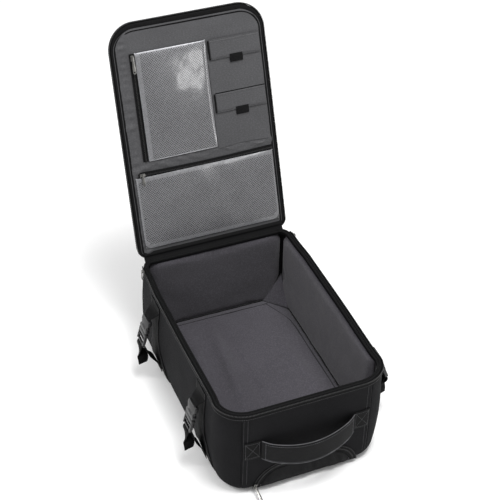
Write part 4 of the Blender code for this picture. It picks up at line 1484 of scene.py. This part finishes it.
class BACKPACK_OT_sliders(bpy.types.Operator):
    """Five nickel sliders, with the pull on each"""

    bl_idname = "backpack.sliders"
    bl_label = "Sliders"

    def execute(self, context):
        for side, word in ((-1, "left"), (1, "right")):
            low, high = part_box("main_slider_" + word)
            middle = (low + high) / 2
            out = Vector((side, 0.0, 0.0))
            foot = Vector((low.x if side > 0 else high.x, middle.y, middle.z))
            add_slider("main_slider_" + word, foot, Vector((0, 1, 0)), out, -UP, out, 0.022)
        inward = -LID_FACE_OUT
        upper = on_lid((ZIP_UPPER[0] + ZIP_UPPER[1]) / 2, 0.453, -0.0020)
        add_slider("mesh_slider_upper", upper, LID_REACH_WAY, inward, -LID_REACH_WAY, inward, 0.034)
        lower = on_lid(-0.145, (ZIP_LOWER[2] + ZIP_LOWER[3]) / 2, -0.0020)
        add_slider("mesh_slider_lower", lower, Vector((1, 0, 0)), inward, -LID_REACH_WAY, inward, 0.024)

        low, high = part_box("pocket_slider")
        turn = math.radians(15)
        centre = Vector(((low.x + high.x) / 2, high.y, (low.z + high.z) / 2))
        along = Vector((math.sin(turn), 0.0, math.cos(turn)))
        tilt = math.radians(16)
        hang = Vector((0.0, -math.cos(tilt), -math.sin(tilt)))
        tab_out = Vector((0.0, -math.sin(tilt), math.cos(tilt)))
        add_slider("pocket_slider", centre, along, AHEAD, hang, tab_out, 0.034)
        return {"FINISHED"}


# ---------------------------------------------------------------- head end

def arch_at(offset, share):
    """(x, z) along the arched zip's line moved out by an offset, from its left foot to its right one."""
    radius = ARCH_RADIUS + offset
    corner_x = ARCH_HALF - ARCH_RADIUS
    foot = math.asin(ARCH_FOOT_Z / radius)
    turn = radius * (math.pi / 2 - foot)
    total = 2 * turn + 2 * corner_x
    run = share * total
    if run < turn:
        angle = math.pi - foot - run / radius
        return -corner_x + radius * math.cos(angle), radius * math.sin(angle)
    if run > total - turn:
        angle = foot + (total - run) / radius
        return corner_x + radius * math.cos(angle), radius * math.sin(angle)
    return -corner_x + run - turn, radius


def head_face(x, z, proud):
    """A place on the head end's outer face."""
    return Vector((x, HEAD_Y - proud, z))


class BACKPACK_OT_handle(bpy.types.Operator):
    """The padded grab handle and the two box-stitched patches that hold it"""

    bl_idname = "backpack.handle"
    bl_label = "Grab handle"

    def execute(self, context):
        def spine(u, across):
            """A place on the sleeve's middle surface: along it, and from its top edge to its lower one."""
            bow = math.sin(math.pi * clamped(u)) ** 0.75
            x = HANDLE_X * (2 * u - 1)
            out = HANDLE_BULGE * bow + HANDLE_THICK / 2 + 0.10 * bow * HANDLE_WIDTH * across
            drop = HANDLE_SAG * bow + HANDLE_WIDTH * across
            return HANDLE_PIVOT + Vector((x, -out, -drop))

        def place(u, v):
            angle = 2 * math.pi * v
            wide = math.copysign(abs(math.cos(angle)) ** 0.55, math.cos(angle))
            thick = math.copysign(abs(math.sin(angle)) ** 0.55, math.sin(angle))
            soft = crumple((u * 0.25, wide * 0.03, 0.0), 0.03, 51.0) * 1.0 * MM
            soft += crumple((u * 0.2, v, 0.0), 0.012, 52.0) * 0.4 * MM
            fat = HANDLE_THICK * 0.5 * (0.75 + 0.35 * math.sin(math.pi * u) ** 0.5) + soft
            point = spine(u, 0.5 - 0.5 * wide * 0.985)
            return point + Vector((0.0, -thick * fat, 0.0))

        bm = capped(cloth_grid(70, 20, place, (0.22, 0.11)))
        add_piece("handle_grip", bm, "nylon", "handle", "handle_sleeve")
        # Painted highlight: pale cords along the sleeve's top and lower edges, piping whose paleness stands in
        # for the light on its folds.
        edges = []
        for across in (0.0, 1.0):
            edges.append(tube([spine(i / 14, across) - Vector((0, 0.0014, 0)) for i in range(15)], 0.0010, 3))
        add_piece("handle_edges_painted_highlight", merged(edges), "pale_thread_and_edge_highlight", "handle", slot="dark_fabric")
        runs = []
        for u in (0.028, 0.972):
            runs.append([(spine(u, 0.06 + 0.88 * i / 12) + AHEAD * 0.0031, AHEAD) for i in range(13)])
        for across in (0.09, 0.91):
            runs.append([(spine(0.03 + 0.94 * i / 50, across) + AHEAD * 0.0034, AHEAD) for i in range(51)])
        add_piece("handle_topstitching", stitches(runs), "pale_thread_and_edge_highlight", "handle")

        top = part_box("handle_patch_left")[1].z
        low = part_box("handle_patch_left")[0].z
        wrap = math.radians(HEAD_SEAM_DEG - 3) * HEAD_RADIUS
        flat = HALF_X - HEAD_RADIUS - HANDLE_X - 0.0008
        for word, start, end in (
            ("left", HEAD_WALL - wrap, HEAD_WALL + flat),
            ("right", HEAD_RIGHT - flat, HEAD_RIGHT + wrap),
        ):
            def patch(u, v, start=start, end=end):
                edge = min(u, 1 - u, v, 1 - v)
                puff = 0.0020 + 0.0006 * min(edge / 0.12, 1.0)
                return tub_point(start + (end - start) * u, low + (top - low) * v, puff)

            bm = cloth_grid(24, 24, patch, (end - start, top - low))
            add_piece(
                f"handle_anchor_{word}", bm, "trim", "tub", f"handle_patch_{word}",
                behind=TUB_CENTRE, wall=2.0 * MM)
            corners = ((0.1, 0.1), (0.9, 0.1), (0.9, 0.9), (0.1, 0.9), (0.1, 0.1))
            lines = list(zip(corners, corners[1:])) + [(corners[0], corners[2]), (corners[1], corners[3])]
            out = TUB.at((start + end) / 2)[1]
            runs = [[(point + out * 0.0003, out) for point in between(patch, *line, 10)] for line in lines]
            add_piece(f"handle_anchor_stitching_{word}", stitches(runs), "thread", "tub")
        return {"FINISHED"}


class BACKPACK_OT_arched_pocket(bpy.types.Operator):
    """The arched pocket under the handle: its wrinkled flap and both halves of its zip"""

    bl_idname = "backpack.arched_pocket"
    bl_label = "Arched pocket"

    def execute(self, context):
        def flap(u, v):
            x, z = arch_at(-ARCH_TAPE - 0.0004, u)
            z = ARCH_FOOT_Z + (z - ARCH_FOOT_Z) * v
            belly = math.sin(math.pi * (0.08 + 0.84 * v)) * min(1.0, (0.104 - abs(x)) / 0.02)
            wrinkle = crumple((x + z * 0.35, z * 0.18, 0.0), 0.013, 61.0) * 3.4 * MM
            wrinkle += crumple((x, z, 0.0), 0.03, 62.0) * 1.2 * MM
            return head_face(x, z, 0.0012 + max(belly, 0.0) * (0.0042 + wrinkle))

        bm = cloth_grid(110, 30, flap, (0.24, 0.05))
        inside = Vector((0.0, 0.0, 0.03))
        add_piece("pocket_front", bm, "nylon", "pocket_flap", "pocket_flap", behind=inside, wall=1.0 * MM)

        def tape(near, far):
            lift = ((near, 0.0006), (near, 0.0016), ((near + far) / 2, 0.0022), (far, 0.0016), (far, 0.0006))

            def place(u, offset, proud):
                return head_face(*arch_at(offset, u), proud)

            return capped(carried(lift, 90, place, (0.28, 0.02)))

        def along_arch(offset, proud):
            return [(head_face(*arch_at(offset, i / 120), proud), AHEAD) for i in range(121)]

        halves = (("outer", 1, "tub"), ("inner", -1, "pocket_flap"))
        for name, way, body in halves:
            edges = sorted((way * 0.0002, way * ARCH_TAPE))
            add_piece(f"pocket_tape_{name}", tape(*edges), "trim", body, f"pocket_zip_tape_{name}")
        for name, way, body in halves:
            teeth = coil(along_arch(way * 0.0009, 0.0020), (0.0011, 0.0018, 0.0012))
            add_piece(f"pocket_coil_{name}", teeth, "teeth", body)
        run = along_arch(ARCH_TAPE - 0.0016, 0.0018)
        add_piece("pocket_topstitching", stitches([run]), "thread", "tub")
        return {"FINISHED"}


# ---------------------------------------------------------------- compression straps

def prism(outline, low, high, edge):
    """A (y, z) outline extruded along X, with its edges rounded."""
    bm = bmesh.new()
    bm.loops.layers.uv.new(CLOTH_UV)
    face = bm.faces.new([bm.verts.new((low, y, z)) for y, z in outline])
    made = bmesh.ops.extrude_face_region(bm, geom=[face])
    verts = [item for item in made["geom"] if isinstance(item, bmesh.types.BMVert)]
    bmesh.ops.translate(bm, verts=verts, vec=(high - low, 0, 0))
    bmesh.ops.recalc_face_normals(bm, faces=bm.faces)
    bmesh.ops.bevel(
        bm, geom=bm.edges[:], offset=edge, offset_type="OFFSET", segments=2, profile=0.5, affect="EDGES",
        clamp_overlap=True, material=-1,
    )
    return bm


def mirrored(points):
    """A (y, z) outline from its right half, listed upwards."""
    return points + [(-y, z) for y, z in reversed(points)]


def socket_mesh():
    """The buckle's socket: a sleeve with a window on each side for the prongs and a strap bar on top."""
    right = [(0.0165, 0.0004), (0.0190, 0.0028), (0.0190, 0.0082), (0.0158, 0.0104), (0.0146, 0.0140),
             (0.0158, 0.0180), (0.0190, 0.0205), (0.0190, 0.0305), (0.0168, 0.0328)]
    half = BUCKLE_THICK / 2
    bm = prism(mirrored(right), -half, half, 0.0010)
    for sign in (-1, 1):
        rounded_box(bm, Matrix.Translation((sign * half, 0, 0.0100)), (0.0014, 0.0200, 0.0012), 0.0004)
        rounded_box(bm, Matrix.Translation((sign * half, 0, 0.0140)), (0.0014, 0.0150, 0.0012), 0.0004)
    rounded_box(bm, Matrix.Translation((0, 0, 0.0318)), (half * 2.1, 0.0330, 0.0034), 0.0012)
    return bm


def plug_mesh(body_length):
    """The buckle's plug: two sprung prongs and a guide above a ladder for the webbing."""
    half = BUCKLE_THICK / 2 - 0.0005
    shoulder = [(0.0160, -0.0105), (0.0190, -0.0085), (0.0190, -0.0022), (0.0172, -0.0004)]
    bm = prism(mirrored(shoulder), -half, half, 0.0009)
    rail = body_length - 0.0085
    for sign in (-1, 1):
        spot = Matrix.Translation((0, sign * 0.0168, -0.0085 - rail / 2))
        rounded_box(bm, spot, (half * 1.7, 0.0042, rail), 0.0009)
        prong = [(0.0100, -0.001), (0.0142, -0.001), (0.0146, 0.008), (0.0176, 0.0125), (0.0184, 0.0150),
                 (0.0172, 0.0182), (0.0125, 0.0225), (0.0108, 0.0215), (0.0118, 0.0150), (0.0108, 0.008)]
        arm = prism([(sign * y, z) for y, z in prong], -half * 0.55, half * 0.55, 0.0005)
        bm = merged([bm, arm])
    guide = [(0.0022, -0.001), (0.0022, 0.0215), (0.0012, 0.0235)]
    bm = merged([bm, prism(mirrored(guide), -half * 0.4, half * 0.4, 0.0004)])
    for drop in (0.5, 1.0):
        spot = Matrix.Translation((0, 0, -0.0085 - rail * drop + 0.0022))
        rounded_box(bm, spot, (half * 1.3, 0.0330, 0.0044), 0.0012)
    return bm


class BACKPACK_OT_straps(bpy.types.Operator):
    """Four compression straps: the sewn wing, the gusset, a side-release buckle and the webbing below it"""

    bl_idname = "backpack.straps"
    bl_label = "Compression straps"

    def execute(self, context):
        for word, (side, y, loose) in STRAPS.items():
            self.strap(word, side, y, loose)
        return {"FINISHED"}

    def strap(self, word, side, y, loose):
        along = Vector((0.0, 1.0, 0.0))

        def at(out, z, width, twist=0.0, shift=0.0):
            return (side * (HALF_X + out), y + shift, z, width, twist)

        top_x, top_z = BUCKLE_TOP
        upper = [
            at(0.0030, RIM_Z - 0.0165, 0.060), at(0.0040, RIM_Z - 0.024, 0.057),
            at(0.012 * loose, RIM_Z - 0.043, 0.043, 0.0, 0.001),
            at(top_x * loose - 0.0010, top_z + 0.0050, 0.031),
            at(top_x * loose + 0.0004, top_z - 0.0010, 0.030),
        ]
        gusset = ribbon(upper, along, 1.8 * MM, 8)
        add_piece("strap_gusset_" + word, gusset, "trim", "tub", "strap_upper_" + word)

        widths = (
            (0.012, 0.108), (0.040, 0.098), (0.070, 0.074), (0.095, 0.052), (0.130, 0.046), (0.213, 0.052))

        def wing(u, v):
            z = 0.012 + (RIM_Z - 0.0175 - 0.012) * v
            width = eased(widths, z)
            place_y = y + (u - 0.5) * width
            pucker = crumple((place_y, z, 0.0), 0.022, y * 40 + side) * 1.1 * MM
            edge = 0.6 + 0.4 * min(u, 1 - u) * 4
            return side_point(side, place_y, z, 0.0014 + max(pucker, -0.0006) + 0.0006 * edge)

        bm = cloth_grid(30, 60, wing, (0.06, 0.21))
        add_piece("strap_wing_" + word, bm, "trim", "tub", behind=Vector((0.0, y, 0.1)), wall=TAPE_CLOTH)
        out = Vector((side, 0.0, 0.0))
        runs = [
            [(point + out * 0.0004, out) for point in between(wing, (u, 0), (u, 1), 50)] for u in (0.07, 0.93)]
        add_piece("strap_wing_stitching_" + word, stitches(runs), "thread", "tub")

        top = (top_x * loose, top_z)
        foot = (BUCKLE_FOOT[0] * loose, BUCKLE_FOOT[1])
        run, fall = foot[0] - top[0], top[1] - foot[1]
        reach = math.hypot(run, fall)
        share = BUCKLE_SPLIT / reach
        place = Vector((side * (HALF_X + top[0] + run * share), y, top[1] - fall * share))
        lean = -side * math.atan2(run, fall)
        matrix = Matrix.Translation(place) @ Matrix.Rotation(lean, 4, "Y")
        male = "buckle_male_" + word
        for name, bm, body, node in (
            ("buckle_socket_" + word, socket_mesh(), "tub", "buckle_female_" + word),
            ("buckle_plug_" + word, plug_mesh(reach - BUCKLE_SPLIT), male, male),
        ):
            bmesh.ops.transform(bm, matrix=matrix, verts=bm.verts)
            add_piece(name, bm, "plastic", body, node, sharp_deg=35)

        fold, foot_z = foot
        base = side_point(side, y, 0.034, 0.0035)
        base_out = side * base.x - HALF_X
        lower = [
            at(base_out, 0.026, 0.052), at(base_out + 0.006, 0.046, 0.046, 4.0),
            at(fold * 0.62 + 0.002, 0.070, 0.034, 6.0), at(fold - 0.008, foot_z - 0.016, 0.030, 2.0),
            at(fold - 0.0028, foot_z - 0.0035, 0.030),
        ]
        strand = add_piece(
            "strap_strand_" + word, ribbon(lower, along, WEBBING, 8), "trim", None, "strap_lower_" + word)
        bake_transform(strand)

        tail = [
            at(fold - 0.0025, foot_z - 0.0050, 0.030), at(fold + 0.0026, foot_z - 0.0055, 0.030),
            at(fold + 0.0052, foot_z - 0.016, 0.029, 8.0),
            at(fold + 0.0020, foot_z - 0.032, 0.027, 45.0, 0.002),
            at(fold - 0.0030, foot_z - 0.048, 0.025, 85.0, 0.0),
            at(fold - 0.0020, foot_z - 0.064, 0.024, 70.0, -0.003),
        ]
        add_piece("strap_tail_" + word, ribbon(tail, along, WEBBING, 8), "trim", male)


# ---------------------------------------------------------------- carried-over nodes, stage

class BACKPACK_OT_stiffeners(bpy.types.Operator):
    """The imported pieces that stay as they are: two stiffening boards and the stowed shoulder straps"""

    bl_idname = "backpack.stiffeners"
    bl_label = "Boards and stowed straps"

    def execute(self, context):
        for node, kind in (
            ("back_board", "board"), ("lid_board", "board"),
            ("shoulder_strap_left", "lining"), ("shoulder_strap_right", "lining"),
        ):
            for slot in frame["nodes"][node].material_slots:
                slot.material = made_of(kind)
        return {"FINISHED"}


class BACKPACK_OT_stage(bpy.types.Operator):
    """A pale floor, soft studio lamps and the camera"""

    bl_idname = "backpack.stage"
    bl_label = "Stage"

    CAMERA_AZIMUTH = -23.11
    CAMERA_ELEVATION = 39.12
    CAMERA_ROLL = 1.316
    CAMERA_DISTANCE = 2.957
    CAMERA_TARGET = (0.0185, 0.10, 0.3306)
    CAMERA_LENS = 99.19
    WORLD_STRENGTH = 0.62
    LAMPS = (
        ("key_softbox", (-2.1, 0.1, 2.3), (0.0, 0.0, 0.1), 1.2, 34.0),
        ("top_softbox", (0.3, -0.4, 2.8), (0.0, 0.1, 0.1), 1.0, 70.0),
    )
    GLINTS = (
        ("edge_glint_softbox", on_lid(0.030, 0.36, 0.0), 15.0, Vector((1, 0, 0)), (0.30, 1.2), 11.0),
        ("streak_softbox", on_lid(0.095, 0.178, 0.0), 6.5, LID_REACH_WAY, (0.12, 0.08), 2.5),
    )
    GLINT_AWAY = 2.4

    def execute(self, context):
        scene = context.scene
        scene.view_settings.view_transform = "Standard"
        self.floor()
        self.world(scene)
        for settings in self.LAMPS:
            self.lamp(*settings)
        eye = self.camera(scene)
        for name, spot, tilt, way, size, power in self.GLINTS:
            # Placed where the film, tilted by its slack, mirrors it into the camera.
            facing_way = -LID_FACE_OUT * math.cos(math.radians(tilt)) + way * math.sin(math.radians(tilt))
            view = (spot - eye).normalized()
            mirrored_way = view - facing_way * 2 * view.dot(facing_way)
            glint = self.lamp(name, spot + mirrored_way * self.GLINT_AWAY, spot, size[0], power)
            glint.data.shape = "RECTANGLE"
            glint.data.size_y = size[1]
            glint.visible_diffuse = False
        return {"FINISHED"}

    def floor(self):
        bm = bmesh.new()
        bmesh.ops.create_grid(bm, x_segments=1, y_segments=1, size=6.0)
        bmesh.ops.translate(bm, verts=bm.verts, vec=(0, 0, -0.0004))
        mesh = bpy.data.meshes.new("floor")
        bm.to_mesh(mesh)
        bm.free()
        material, tree, shader = surface("paper_sweep_matt", {"Roughness": 0.95, "Specular IOR Level": 0.1})
        where = add_node(tree, "ShaderNodeTexCoord").outputs["Object"]
        fibre = add_node(
            tree, "ShaderNodeTexNoise", values={"Scale": 3.0, "Detail": 2.0},
            links={"Vector": where}).outputs["Fac"]
        ramp = add_node(tree, "ShaderNodeValToRGB", links={"Fac": fibre})
        ramp.color_ramp.elements[0].color = srgb("#fdfdfd")
        ramp.color_ramp.elements[1].color = srgb("#ffffff")
        tree.links.new(ramp.outputs["Color"], shader.inputs["Base Color"])
        mesh.materials.append(material)
        floor = bpy.data.objects.new("floor", mesh)
        bpy.context.scene.collection.objects.link(floor)

    def world(self, scene):
        world = bpy.data.worlds.new("studio")
        world.use_nodes = True
        background = world.node_tree.nodes["Background"]
        background.inputs["Color"].default_value = (1.0, 1.0, 1.0, 1.0)
        background.inputs["Strength"].default_value = self.WORLD_STRENGTH
        scene.world = world

    def lamp(self, name, place, target, size, power):
        data = bpy.data.lights.new(name, "AREA")
        data.shape = "SQUARE"
        data.size = size
        data.energy = power
        lamp = bpy.data.objects.new(name, data)
        bpy.context.scene.collection.objects.link(lamp)
        lamp.location = place
        lamp.rotation_euler = (Vector(place) - Vector(target)).to_track_quat("Z", "Y").to_euler()
        return lamp

    def camera(self, scene):
        azimuth, elevation, roll = (
            math.radians(value) for value in (self.CAMERA_AZIMUTH, self.CAMERA_ELEVATION, self.CAMERA_ROLL))
        level = Vector((math.sin(azimuth), -math.cos(azimuth), 0.0))
        back = level * math.cos(elevation) + UP * math.sin(elevation)
        right = (-back).cross(UP).normalized()
        up = right.cross(-back)
        turned_right = right * math.cos(roll) + up * math.sin(roll)
        turned_up = up * math.cos(roll) - right * math.sin(roll)
        matrix = Matrix((turned_right, turned_up, back)).transposed().to_4x4()
        matrix.translation = Vector(self.CAMERA_TARGET) + back * self.CAMERA_DISTANCE
        data = bpy.data.cameras.new("camera")
        data.lens = self.CAMERA_LENS
        data.sensor_width = 36.0
        camera = bpy.data.objects.new("camera", data)
        scene.collection.objects.link(camera)
        camera.matrix_world = matrix
        scene.camera = camera
        return matrix.translation


# ---------------------------------------------------------------- add-on

STEPS = (
    BACKPACK_OT_stage,
    BACKPACK_OT_walls,
    BACKPACK_OT_pads,
    BACKPACK_OT_lining_seams,
    BACKPACK_OT_rim,
    BACKPACK_OT_hinge,
    BACKPACK_OT_lid_shell,
    BACKPACK_OT_lid_lining,
    BACKPACK_OT_mesh_pockets,
    BACKPACK_OT_organiser,
    BACKPACK_OT_sliders,
    BACKPACK_OT_handle,
    BACKPACK_OT_arched_pocket,
    BACKPACK_OT_straps,
    BACKPACK_OT_stiffeners,
)


class BACKPACK_PT_pieces(bpy.types.Panel):
    """The backpack's pieces, in the order that they are made"""

    bl_idname = "BACKPACK_PT_pieces"
    bl_label = "Travel backpack"
    bl_space_type = "VIEW_3D"
    bl_region_type = "UI"
    bl_category = "Backpack"

    def draw(self, context):
        scene = context.scene
        for group in (scene.backpack_colours, scene.backpack_sizes):
            box = self.layout.box()
            for name in group.bl_rna.properties.keys():
                if name not in ("rna_type", "name"):
                    box.prop(group, name)
        for step in STEPS:
            self.layout.operator(step.bl_idname)


CLASSES = (BackpackColours, BackpackSizes, *STEPS, BACKPACK_PT_pieces)


def register():
    for item in CLASSES:
        bpy.utils.register_class(item)
    bpy.types.Scene.backpack_colours = bpy.props.PointerProperty(type=BackpackColours)
    bpy.types.Scene.backpack_sizes = bpy.props.PointerProperty(type=BackpackSizes)


def unregister():
    del bpy.types.Scene.backpack_sizes
    del bpy.types.Scene.backpack_colours
    for item in reversed(CLASSES):
        bpy.utils.unregister_class(item)


def main():
    """Make every piece in order."""
    register()
    for step in STEPS:
        group, name = step.bl_idname.split(".")
        getattr(getattr(bpy.ops, group), name)()


if __name__ == "__main__":
    main()
